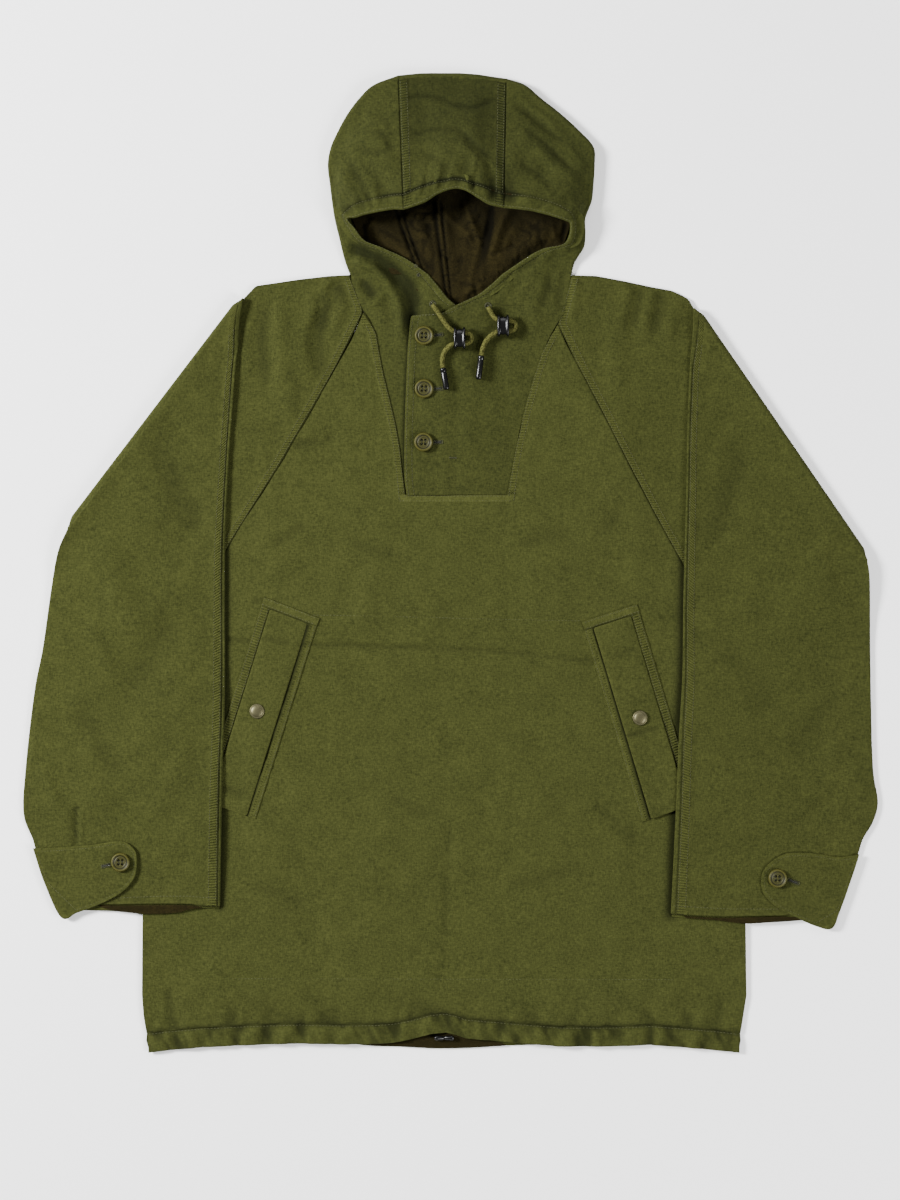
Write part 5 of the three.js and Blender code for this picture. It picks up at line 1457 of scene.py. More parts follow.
def hood_surface():
    """Points of the hood's top cloth, from the mouth's edge out, with what the seams need to know"""
    kinds, row = hood_rows()
    long = row_long(row)
    reach = long - row["edge"]
    casing = row["casing"]
    t = np.concatenate(
        [casing * CASING_SHARES[None], casing + (reach - casing) * PANEL_SHARES[None, 1:]], 1
    )
    x, y = on_row(row, t / long)
    in_wing = np.isin(kinds, WINGS)[:, None]
    over = (kinds == "v_right")[:, None]
    flat = np.where(over, over_top(x, y), bib_top(x, y))
    z = np.where(in_wing, flat, hood_height(row, t))
    mouth = np.concatenate([row["mouthX"], row["mouthY"]], 1)
    travelled = lengths(mouth)[:, None]
    centre = np.isin(kinds, ("centre",))
    first, last = np.flatnonzero(centre)[[0, -1]]
    step = np.linalg.norm(np.diff(np.stack([x, y], -1), axis=0), axis=-1)
    run = np.vstack([np.zeros((1, x.shape[1])), np.cumsum(step, 0)])
    from_left = run - run[first]
    from_right = run[last] - run
    # no step where the V's rows meet the hood's
    count = np.arange(len(z))[:, None]
    for k in np.flatnonzero(np.diff(in_wing[:, 0].astype(int))):
        half_step = 0.5 * (z[k + 1] - z[k])
        near = peak(count - k - 0.5, 7)
        z = z + half_step * near * np.where(count <= k, 1, -1)
    # gathers: strongest at the channel's stitching, between the two seams
    middle = smooth((from_left[:, :1] + 30) / 40) * smooth((from_right[:, :1] + 30) / 40)
    brim = smooth((mouth[:, 1:] - 346) / 8)
    depth = np.where(t < casing, smooth(t / casing * 1.15), np.exp(-((t - casing) / 20)))
    wave = noise(travelled + 0.25 * t, t * 0.12, 8.5, 3) + 0.7 * noise(travelled - 0.2 * t, t * 0.1, 5.0, 7)
    wave = kept_above(wave, -0.42, 0.06)
    z = z + (0.9 + 1.1 * middle) * brim * depth * wave * 3.6
    # stitching of the channel
    z = z - 0.55 * peak(t - casing, 1.1) + 0.5 * box(t, 0.5, casing - 0.6, 1.6)
    free = smooth((reach - t) / 12)
    z = z + free * undulate(x, y, 21) * 1.05
    z = z + free * (crinkle(x, y, 15, 0.35, 23) - crinkle(x, y, 23, 0.5, 27))
    wings = wing_folds(x, y)
    z = np.where(t < casing, z + 0.5 * free * wings, kept_above(z + free * wings, 2.1))
    for from_seam in (from_left, from_right):
        z = z + band_relief(from_seam, HOOD_BAND) * smooth((t + 1) / 3)
        z = z + drawn_in(t, from_seam, HOOD_BAND, 31, 0.5)
    # painted shade: dark lines at the seams, then shade in the bottoms of the wing folds, the valley and
    # the path folds
    nearest = np.minimum(np.abs(from_left), np.abs(from_right))
    shade = np.maximum(0.45 * peak(nearest, 0.7), free * hollow(wings, 3.8, 0.75) * smooth((t - 5) / 4))
    shade = np.maximum(shade, free * np.minimum(0.9, valley_shade(x, y)) * smooth((t - 4) / 5))
    big = path_folds(HOOD_PATHS, x, y)
    shade = np.maximum(shade, hollow(big, 2.6, 0.38) * smooth((y - 300) / 30))
    # painted shade: the hood darker above y 330, and its middle panel darker still towards its top
    deep = box(x, -48, 54, 10) * smooth((y - 395) / 80)
    shade = np.minimum(0.9, shade + 0.08 * smooth((y - 330) / 40) + 0.3 * deep)
    # painted shade in the dips of the gathers and along the crease at the channel's stitching
    gather = depth * (0.4 + 0.6 * middle) * brim * np.clip(-wave, 0, 1)
    line = brim * (0.3 + 0.9 * middle) * peak(t - casing - 0.5, 2.0)
    shade = np.minimum(0.9, shade + 1.9 * gather + line)
    across = np.minimum(rungs(from_left, HOOD_BAND), rungs(from_right, HOOD_BAND))
    wear = 0.06 * (across < 1) + 0.16 * peak(t, 1.6) + 0.08 * (t < casing)
    return {
        "kinds": kinds,
        "row": row,
        "t": t,
        "points": np.stack([x, y, z], -1),
        "values": {"wear": wear, "rung_along": t + 0 * x, "rung_across": across, "shade": shade},
        "reach": reach,
        "long": long,
        "seam_runs": (from_left, from_right),
    }


def line_at(points, run, out):
    """Where a running distance, which rises or falls down each column, has a given value"""
    line = []
    for k in range(points.shape[1]):
        order = np.argsort(run[:, k])
        line.append([np.interp(out, run[order, k], points[order, k, i]) for i in range(3)])
    return np.array(line)


def part_of(values, rows, cols):
    return {k: v[rows][:, cols] for k, v in values.items()}


HOOD_BACK = (10, 299)  # where the cloth of the hood's back comes together, at the neck


def make_hood():
    """Three panels with the placket's sides, the channel round the mouth and the lining above"""
    hood = hood_surface()
    kinds, points, values = hood["kinds"], hood["points"], hood["values"]
    row, reach, long = hood["row"], hood["reach"], hood["long"]
    cut = len(CASING_SHARES) - 1
    # the rounded side that lies on the table, and the cloth back under
    turn = np.radians(np.array([90, 75, 60, 45, 30, 15, 0, -20, -45, -70, -90]))[None]
    radius = row["edge"]
    out = reach + radius * np.cos(turn)
    side_z = radius + radius * np.sin(turn) + 0 * out
    rounding = np.stack([*on_row(row, out / long), side_z], -1)
    low = rounding[:, -1]
    under = np.stack([lerp(low, np.array([*HOOD_BACK, 0]), k) for k in np.linspace(0, 1, 8)], 1)
    under[..., 2] = 0.1
    groups = [
        ("hood_side_left", ("v_left", "left"), ("hood_left", "bib_under")),
        ("hood_middle", ("centre",), ("hood_centre",)),
        ("hood_side_right", ("right", "v_right"), ("hood_right", "bib_over")),
    ]
    for name, kind, nodes in groups:
        sheet = Sheet()
        keep = np.isin(kinds, kind)
        sheet.add(points[keep][:, cut:], **part_of(values, keep, slice(cut, None)))
        hooded = keep & ~np.isin(kinds, WINGS)
        next_too = hooded | np.roll(hooded, 1) | np.roll(hooded, -1)
        sheet.add(rounding[next_too])
        sheet.add(under[next_too])
        if "v_left" in kind:
            add_under_side(sheet)
        if "v_right" in kind:
            add_over_side(sheet)
        piece = sheet.build(name, HOOD_CANVAS)
        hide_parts(*nodes)
        put_slot(piece)
    # the cord's channel, rolled round the mouth's edge and in under it
    sheet = Sheet()
    sheet.add(points[:, : cut + 1], **part_of(values, slice(None), slice(0, cut + 1)))
    edge = points[:, 0]
    into = points[:, 3] - edge
    into[:, 2] = 0
    into /= np.hypot(into[:, 0], into[:, 1])[:, None]
    climb = points[:, 6] - points[:, 1]
    slope = climb[:, 2] / np.linalg.norm(climb[:, :2], axis=1)
    thick = np.where(np.isin(kinds, WINGS), 1.6, CHANNEL_THICK)
    roll = [edge]
    for ahead, down in ((-0.7, 0.25), (-0.95, 0.55), (-0.6, 0.85), (0.3, 1.0), (6.0, 1.0), (15.0, 1.0)):
        line = edge + into * ahead
        line[:, 2] = edge[:, 2] - thick * down + np.maximum(0, ahead) * np.clip(slope, -1, 1)
        roll.append(line)
    sheet.add(np.array(roll), wear=0.16)
    channel = sheet.build("hood_channel", HOOD_CANVAS)
    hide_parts("hood_casing")
    put_slot(channel)
    TOPSTITCH.path(points[:, cut], 3.2)
    TOPSTITCH.path(points[:, 2], 3.2, high=0.2)
    for seam_run in hood["seam_runs"]:
        for out in stitch_rows(HOOD_BAND):
            TOPSTITCH.path(line_at(points[:, cut + 1 :], seam_run[:, cut + 1 :], out))
    make_ceiling(hood)


def side_relief(x, y):
    """Creases of the placket's cloth"""
    relief = undulate(x, y, 21) * 0.8 + crinkle(x, y, 15, 0.35, 23) - crinkle(x, y, 23, 0.5, 27)
    return relief * smooth((x + 49) / 8) + wing_folds(x, y)


def side_block(rows, height, columns):
    """A stretch of the placket, from its free edge to the seam"""
    x = lerp(rows[:, 2:3], rows[:, 0:1], columns[None])
    y = lerp(rows[:, 3:4], rows[:, 1:2], columns[None])
    z = height(x, y) + side_relief(x, y)
    z = z + drawn_in(y, (1 - columns[None]) * (x[:, -1:] - x[:, :1]), 0, 12, 0.4, 8)
    return np.stack([x, y, z], -1)


def add_under_side(sheet):
    """The under side of the placket, below the V"""
    y = np.append(np.arange(BIB_BOTTOM + SEAM_GAP, V_BOTTOM[1], ROW_STEP), V_BOTTOM[1])
    edge = np.interp(y, np.append(UNDER_EDGE["y"], V_BOTTOM[1]), np.append(UNDER_EDGE["x"], V_BOTTOM[0]))
    side = look(BIB_SEAMS["left"], "x", y)
    rows = np.stack([side, y, edge, y], -1)
    columns = np.concatenate([[0], np.linspace(0.02, 0.97, 56), [0.985, 0.993, 1]])
    block = side_block(rows, bib_top, columns)
    block[:, 0, 2] -= 0.3
    over_edge = np.interp(block[..., 1], OVER_ROWS["mouthY"][:8], OVER_ROWS["mouthX"][:8])
    # painted shadow beside the upper side's free edge and at its corner, painted shade in the fold bottoms
    # and the valley; the seam's dark line
    beside = 0.75 * peak(block[..., 0] - over_edge, 2.6)
    crook = 0.8 * peak(np.hypot(block[..., 0] + 43, block[..., 1] - 250), 7)
    folds = hollow(wing_folds(block[..., 0], block[..., 1]), 3.8, 0.75)
    line = 0.45 * peak(block[..., 0] - look(BIB_SEAMS["left"], "x", block[..., 1]), SEAM_LINE)
    valley = valley_shade(block[..., 0], block[..., 1])
    sheet.add(block, shade=np.minimum(0.93, np.maximum.reduce([beside, crook, folds, line, valley])))


def add_over_side(sheet):
    """The upper side of the placket, with its stitched edge"""
    data = np.stack([OVER_ROWS[k] for k in ("sideX", "sideY", "mouthX", "mouthY")], -1)
    rows = refine_plain(data)
    columns = np.concatenate(
        [[0, 0.004, 0.01, 0.02, 0.035, 0.05], np.linspace(0.065, 0.97, 58), [0.985, 0.993, 1]]
    )
    block = side_block(rows, over_top, columns)
    long = np.hypot(rows[:, 2] - rows[:, 0], rows[:, 3] - rows[:, 1])[:, None]
    t = columns[None] * long
    block[..., 2] += 0.5 * box(t, -5, 7.2, 1.2) - 0.3 * peak(t - 7.6, 1.0)
    block[..., 2] += drawn_in(block[..., 1], t - 7.6, 0, 15, 0.45, 8)
    sheet.add(block, wear=0.16 * peak(t, 1.8) + 0.06 * box(t, -2, 7, 1.5))
    edge = block[:, 0]
    sheet.rim(edge, way_in(edge, (20, 160)), 1.7, 0.12)
    for out in (1.8, 7.6):
        TOPSTITCH.path(line_at(block.transpose(1, 0, 2), t.T, out))


def refine_plain(rows):
    """More rows between the table's, on straight lines"""
    run = row_steps(rows)[1]
    at = np.linspace(0, run[-1], int(run[-1] / ROW_STEP))
    return np.stack([np.interp(at, run, rows[:, k]) for k in range(4)], -1)


def make_ceiling(hood):
    """Lining on the hood's inside, over the head"""
    row, reach, long = hood["row"], hood["reach"], hood["long"]
    keep = ~np.isin(hood["kinds"], WINGS)
    row = {k: v[keep] for k, v in row.items()}
    reach, long = reach[keep], long[keep]
    t = lerp(5.0, reach, np.linspace(0, 1, 40)[None])
    x, y = on_row(row, t / long)
    z = hood_height(row, t) - 4.4 - 0.8 * crinkle(x, y, 9, 1.0, 41) - 0.4 * undulate(x, y, 44)
    z = np.maximum(z, 1.9)
    sheet = Sheet()
    sheet.add(np.stack([x, y, z], -1))
    piece = sheet.build("hood_lining_upper", LINING)
    return put_slot(piece)


LINING_OUTLINE = [
    (-22, 263), (32, 263), (66, 284), (92, 304), (112, 322), (122, 345), (128, 380), (124, 418),
    (96, 452), (50, 480), (-40, 483), (-82, 464), (-106, 430), (-108, 380), (-98, 345), (-84, 324),
    (-58, 303), (-38, 284),
]
LINING_FOLDS = folds(
    [
        [-4, 278, -78, 352, 11, 4.5], [0, 276, -44, 372, 9, 5.5], [4, 275, -14, 392, 9, 6],
        [8, 276, 30, 400, 10, 5], [14, 278, 64, 372, 10, 5.5], [22, 282, 98, 345, 10, 4],
    ],
)
LINING_CREASES = folds(
    [
        [-18, 372, -4, 268, 1.8, -2.6], [-11, 372, 0, 270, 1.6, -2.0], [-14.5, 372, -2, 270, 1.4, 1.6],
        [-58, 366, -34, 300, 1.6, -2.2], [-52, 366, -28, 296, 1.6, -1.8],
        [-55, 366, -31, 298, 1.2, 1.4], [-90, 349, -86, 326, 1.8, -2.2],
        [-74, 344, -50, 330, 2.5, -1.2], [-48, 340, -20, 300, 3, -1.2], [-6, 360, 20, 336, 3, 1.8],
        [20, 336, 36, 326, 3, -1.4], [12, 372, 30, 330, 3, 2.6], [30, 330, 18, 276, 4, 2.6],
        [40, 350, 22, 290, 4, -2.4], [42, 366, 36, 300, 4, -2.0], [58, 366, 34, 296, 4, 2.0],
        [70, 352, 44, 306, 5, 1.8], [84, 344, 50, 318, 4, -1.8], [94, 352, 66, 330, 4, 1.4],
        [118, 350, 114, 330, 1.8, -2.0], [104, 348, 110, 326, 3, 1.4],
    ],
)


def lining_top(x, y):
    grown = smooth((y - 266) / 60)
    high = CLOTH + LAYER_GAP + 1.0 + fold_height(LINING_FOLDS, x, y) * grown
    high = high + fold_height(LINING_CREASES, x, y) * smooth((y - 262) / 20)
    fine = crinkle(x, y, 6.5, 1.0, 51) - crinkle(x, y, 9, 1.2, 55) + undulate(x, y, 58)
    high = high + (fine + 0.6 * noise(x, y, 4, 61)) * smooth((y - 262) / 14)
    return kept_above(high, 1.5, 0.25)


def plate(sheet, outline, top, thick, step, inset=0.7, values=None):
    """A flat piece with rounded edges, filled with small triangles"""
    loop = rounded(np.vstack([outline, outline[:1]]), step)[:-1]
    inward = way_in_loop(loop)
    core = loop + inward * inset
    low, high = core.min(0), core.max(0)
    gx, gy = np.meshgrid(np.arange(low[0], high[0], step), np.arange(low[1], high[1], step))
    gx = gx + (np.arange(gx.shape[0]) % 2)[:, None] * step / 2
    keep = inside_distance(core, gx.ravel(), gy.ravel()) > step * 0.45
    inner = np.stack([gx.ravel()[keep], gy.ravel()[keep]], -1)
    flat = np.vstack([core, inner])
    count = len(core)
    corners = [Vector(p) for p in flat]
    found, _, faces, _, _, _ = delaunay_2d_cdt(corners, [], [list(range(count))], 1, 1e-6)
    found = np.array([tuple(p) for p in found])
    z = top(found[:, 0], found[:, 1])
    start = sheet.count
    sheet.points.append(np.column_stack([found, z]))
    sheet.faces.append([[i + start for i in f] for f in faces])
    given = values(found[:, 0], found[:, 1]) if values else {}
    for name in sheet.NAMES:
        value = given.get(name, sheet.unset(name))
        sheet.values[name].append(np.broadcast_to(value, len(found)))
    sheet.count += len(found)
    closed = np.vstack([loop, loop[:1]])
    inward = np.vstack([inward, inward[:1]])
    base = top(closed[:, 0], closed[:, 1])
    rings = []
    for share, down in ((1.0, 0.0), (0.6, 0.07), (0.2, 0.25), (0, 0.5), (0.1, 0.85), (0.6, 1.0)):
        line = closed + inward * inset * share
        rings.append(np.column_stack([line, base - thick * down]))
    sheet.add(np.array(rings), wear=0.15)


def way_in_loop(loop):
    run = np.roll(loop, -1, 0) - np.roll(loop, 1, 0)
    square = np.stack([-run[:, 1], run[:, 0]], -1)
    square /= np.hypot(*square.T)[:, None]
    test = inside_distance(loop, loop[:, 0] + square[:, 0], loop[:, 1] + square[:, 1])
    return square * np.where(test > 0, 1, -1)[:, None]


def make_lining():
    def values(x, y):
        # painted shade: darker further in under the brim and in the bottoms of the creases and crinkles;
        # painted highlight: paler on their tops
        deep = 0.45 * smooth((y - 325) / 45)
        folds = fold_height(LINING_CREASES, x, y)
        fine = crinkle(x, y, 6.5, 1.0, 51) - crinkle(x, y, 9, 1.2, 55) + 0.8 * noise(x, y, 4, 61)
        shade = deep + hollow(folds, 2.2, 0.8) + hollow(fine, 1.0, 0.5)
        return {"shade": np.minimum(0.92, shade), "wear": 0.35 * smooth((fine + 0.5 * folds) / 1.6)}

    sheet = Sheet()
    plate(sheet, np.array(LINING_OUTLINE, float), lining_top, 1.0, 2.0, values=values)
    piece = sheet.build("hood_lining_lower", LINING)
    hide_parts("hood_lining")
    return put_slot(piece)


# Back, hem lining and toggle

BACK_HEM = [
    (-311.1, -501.1), (-207, -493.4), (-114.3, -494.4), (-83.4, -497), (-50.5, -498), (-21.6, -499.6),
    (6.2, -499.6), (34, -498.4), (56.6, -496.8), (112.3, -495.4), (205, -493.9), (296.6, -501.1),
]
BACK_FOLDS = [
    ([(-180, 160), (-120, 60), (-90, -80)], 18, 0.9), ([(170, 150), (130, 40), (110, -70)], 18, 0.9),
    ([(-200, -180), (-60, -210), (90, -190)], 16, 0.8),
    ([(-120, -330), (20, -350), (180, -320)], 14, 0.8),
    ([(-260, -100), (-240, -260), (-250, -400)], 14, 0.7),
    ([(240, -120), (236, -260), (250, -420)], 14, 0.7), ([(-60, 250), (0, 200), (70, 246)], 14, 0.8),
]


def sides_of(name, low):
    rows = zip(BODY_SIDES["y"], BODY_SIDES[name])
    return [(x, y) for y, x in rows if low < y < -69]


def back_outline():
    right = (SLEEVES["right"]["neck"] + SLEEVES["right"]["raglan"][1:])[::-1]
    left = SLEEVES["left"]["neck"] + SLEEVES["left"]["raglan"][1:]
    outline = np.array([*BACK_HEM, *sides_of("right", -502), *right, *left, *sides_of("left", -502)[::-1]])
    keep = np.hypot(*(outline - np.roll(outline, 1, 0)).T) > 1.0
    outline = outline[keep]
    return outline + way_in_loop(outline) * 0.4


def back_under(x, y):
    """The back's outer side, which lies on the table"""
    folds = np.maximum(0, path_folds(BACK_FOLDS, x, y))
    return 0.12 + 0.35 * folds + 0.12 * (0.5 + noise(x, y, 24, 130))


def make_back():
    outline = back_outline()

    def values(x, y):
        hem = peak(y + 477, 0.9)
        return {"shade": 0.4 * hem, "wear": 0.12 * peak(y + 497, 6)}

    sheet = Sheet()
    plate(sheet, outline, back_under, -0.5, 8.0, 0.5, values=values)
    plate(sheet, outline, lambda x, y: CLOTH - 0.1 + 0 * x, 0.5, 12.0, 0.5)
    # painted shade: a darkened strip under each raglan seam, seen through the gap at the seam
    for side in SLEEVES:
        line = under_seam(side)
        strip = [np.column_stack([line + (out, 0), np.full(len(line), 0.6)]) for out in (-3.0, 3.0)]
        sheet.add(np.stack(strip, 1), shade=0.3)
    piece = sheet.build("back_panel", CANVAS)
    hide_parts("back")
    return put_slot(piece)


def strip_outline(lower, upper):
    return np.array([*lower, *upper[::-1]], float)


TOGGLE_LONG = 20.2


def make_hem_trim():
    upper = [(x, y - 0.5) for x, y in zip(HEM["x"], HEM["y"]) if -100 < x < 62]
    lower = [(x, y + 1) for x, y in BACK_HEM if -100 < x < 62]
    base = CLOTH + SEAM_GAP + 1.0

    def top(x, y):
        return base + 0.5 * noise(x, y * 0.5, 7, 141) + 0.3 * noise(x, y, 3, 142)

    sheet = Sheet()
    plate(sheet, strip_outline(lower, upper), top, 0.8, 1.8, 0.4)
    piece = sheet.build("hem_facing", LINING)
    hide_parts("hem_lining")
    put_slot(piece)
    half = [(0, 0), (1.5, 0.1), (2.2, 0.7), (2.6, 1.9), (2.6, 3.4), (2.3, 4), (2.3, 8.6), (1.7, 9.2)]
    profile = half + [(r, TOGGLE_LONG - z) for r, z in half[::-1]]
    toggle = lathe("toggle", profile, (-17.1, -487.8, base + SEAM_GAP + 2.6), BLACK, 28, (1, 0, 0))
    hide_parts("hem_toggle")
    put_slot(toggle)


def make_cuff_lining(side):
    sleeve = SLEEVES[side]
    upper = [(x, y - 1.2) for x, y in sleeve["cuff_upper"]]
    lower = [(x, y + 0.8) for x, y in sleeve["cuff_lower"]]

    def top(x, y):
        base = support(sleeve, x, y) + CLOTH + SEAM_GAP + 1.0
        return base + 0.4 * noise(x, y * 0.5, 6, 151)

    sheet = Sheet()
    plate(sheet, strip_outline(lower, upper), top, 0.8, 1.6, 0.4)
    piece = sheet.build(f"cuff_facing_{side}", LINING)
    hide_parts(f"cuff_lining_{side}")
    return put_slot(piece)


# Sleeves

SLEEVE_FOLDS = {
    "left": folds(
        [
            [-300, 120, -262, 40, 16, -2.7], [-360, 20, -330, -70, 18, 2],
            [-285, -60, -330, -130, 16, -2], [-380, -150, -340, -215, 15, -2],
            [-270, -180, -300, -260, 14, 1.7], [-386, -262, -386, -290, 8, -2],
        ],
    ),
    "right": folds(
        [
            [300, 120, 268, 30, 16, -2.7], [390, -10, 340, -80, 18, 2], [280, -80, 330, -150, 16, -2],
            [400, -140, 350, -190, 15, -2], [270, -190, 300, -280, 14, 1.7],
        ],
    ),
}
SLEEVE_CREASES = {
    "left": folds(
        [
            [-385, -252, -386, -290, 3, -2.6], [-381, -254, -381, -290, 3, 1.8],
            [-410, -40, -372, -60, 7, -1.4], [-300, 40, -262, 20, 7, -1.2],
            [-420, -160, -380, -190, 8, -1.6], [-330, -200, -290, -212, 6, -1.2],
            [-400, -240, -360, -262, 6, -1.4], [-290, 150, -262, 118, 6, -1.2],
            [-350, -30, -300, -44, 8, 1.2], [-270, -300, -300, -340, 6, -1.2],
            [-372, -60, -344, -120, 7, 1.2], [-420, -210, -404, -250, 6, 1.6],
        ],
    ),
    "right": folds(
        [
            [428, 0, 396, -18, 6, -1.6], [400, 30, 372, 6, 6, 1.4], [300, 40, 264, 16, 7, -1.2],
            [424, -150, 380, -186, 8, -1.6], [330, -196, 286, -206, 6, -1.2],
            [404, -236, 362, -262, 6, -1.4], [290, 148, 262, 122, 6, -1.2],
            [352, -40, 300, -52, 8, 1.2], [262, -300, 292, -346, 6, -1.2],
            [376, -70, 344, -124, 7, 1.2], [418, -204, 400, -250, 6, 1.6],
        ],
    ),
}
SHOULDER_CREASES = folds(
    [
        [-158, 240, -166, 150, 9, 1.6], [-176, 150, -184, 96, 8, -1.4], [170, 215, 180, 140, 9, 1.6],
        [150, 262, 152, 220, 7, -1.4], [-118, 226, -126, 190, 5, -1.0],
    ],
)
SHOULDER_PATHS = [
    ([(-134, 240), (-130, 260), (-122, 276), (-110, 290)], 6, -5),
    ([(-142, 246), (-140, 266), (-130, 284), (-120, 298)], 6.5, 3.4),
    ([(-120, 246), (-112, 262), (-104, 272)], 5, 3.0),
    ([(-128, 286), (-150, 291), (-176, 289)], 4, -1.4),
    ([(-134, 262), (-136, 230), (-132, 190)], 7, -3),
    ([(-146, 258), (-150, 226), (-146, 186)], 8, 2.4),
    ([(-190, 268), (-194, 230), (-190, 178)], 8, -3),
    ([(-176, 270), (-178, 230), (-174, 180)], 8, 2.8),
    ([(-206, 262), (-210, 230), (-208, 190)], 6, 1.6), ([(198, 290), (193, 266), (188, 240)], 7, -3.4),
    ([(184, 290), (180, 262), (172, 236)], 8, 2.6), ([(219, 280), (213, 256), (206, 232)], 7, -3.2),
    ([(208, 286), (203, 262), (197, 236)], 6, 3.0), ([(232, 272), (227, 248), (222, 226)], 6, 2.6),
    ([(118, 290), (116, 270), (110, 246)], 6, -4.0), ([(130, 292), (128, 272), (124, 252)], 6, 3.2),
    ([(150, 292), (140, 280), (136, 262)], 6, 1.6),
]
UNFOLDED = 130  # length from the raglan seam to the fold, as the seams' bands take it
FOLDED = 610  # and from the fold to the cuff
CUFF_HEM = 9
SLEEVE_SEAM_IN = {
    "left": table("y inset", [[-353, 2.8], [-200, 3.4], [100, 4.2], [200, 6.0], [262, 8.5]]),
    "right": table("y inset", [[-361, 5.2], [-140, 4.0], [60, 3.6], [200, 4.6], [252, 9.5]]),
}


def patch_grid(top, bottom, side_a, side_b, s, v):
    """Points of a four-sided patch. Each side gives points at shares of its length."""
    s2, v2 = s[:, None, None], v[..., None]
    t0, t1, b0, b1 = top(0.0), top(1.0), bottom(0.0), bottom(1.0)
    rows = lerp(top(v), bottom(v), s2)
    cols = lerp(side_a(s)[:, None], side_b(s)[:, None], v2)
    corners = lerp(lerp(t0, t1, v2), lerp(b0, b1, v2), s2)
    return rows + cols - corners


def sleeve_columns(wide):
    """Shares across one layer of the flattened tube, closer together at its two edges"""
    near = np.array([0.8, 1.6, 2.3, 3.0, 3.8, 4.8, 6.0, 7.5, 9.0, 10.5, 11.5, 12.6, 14.5])
    base = np.linspace(16.5 / 190, 1 - 16.5 / 190, 62)
    rows = [np.concatenate([near / w, base, 1 - near[::-1] / w]) for w in np.atleast_1d(wide)]
    return np.array(rows)


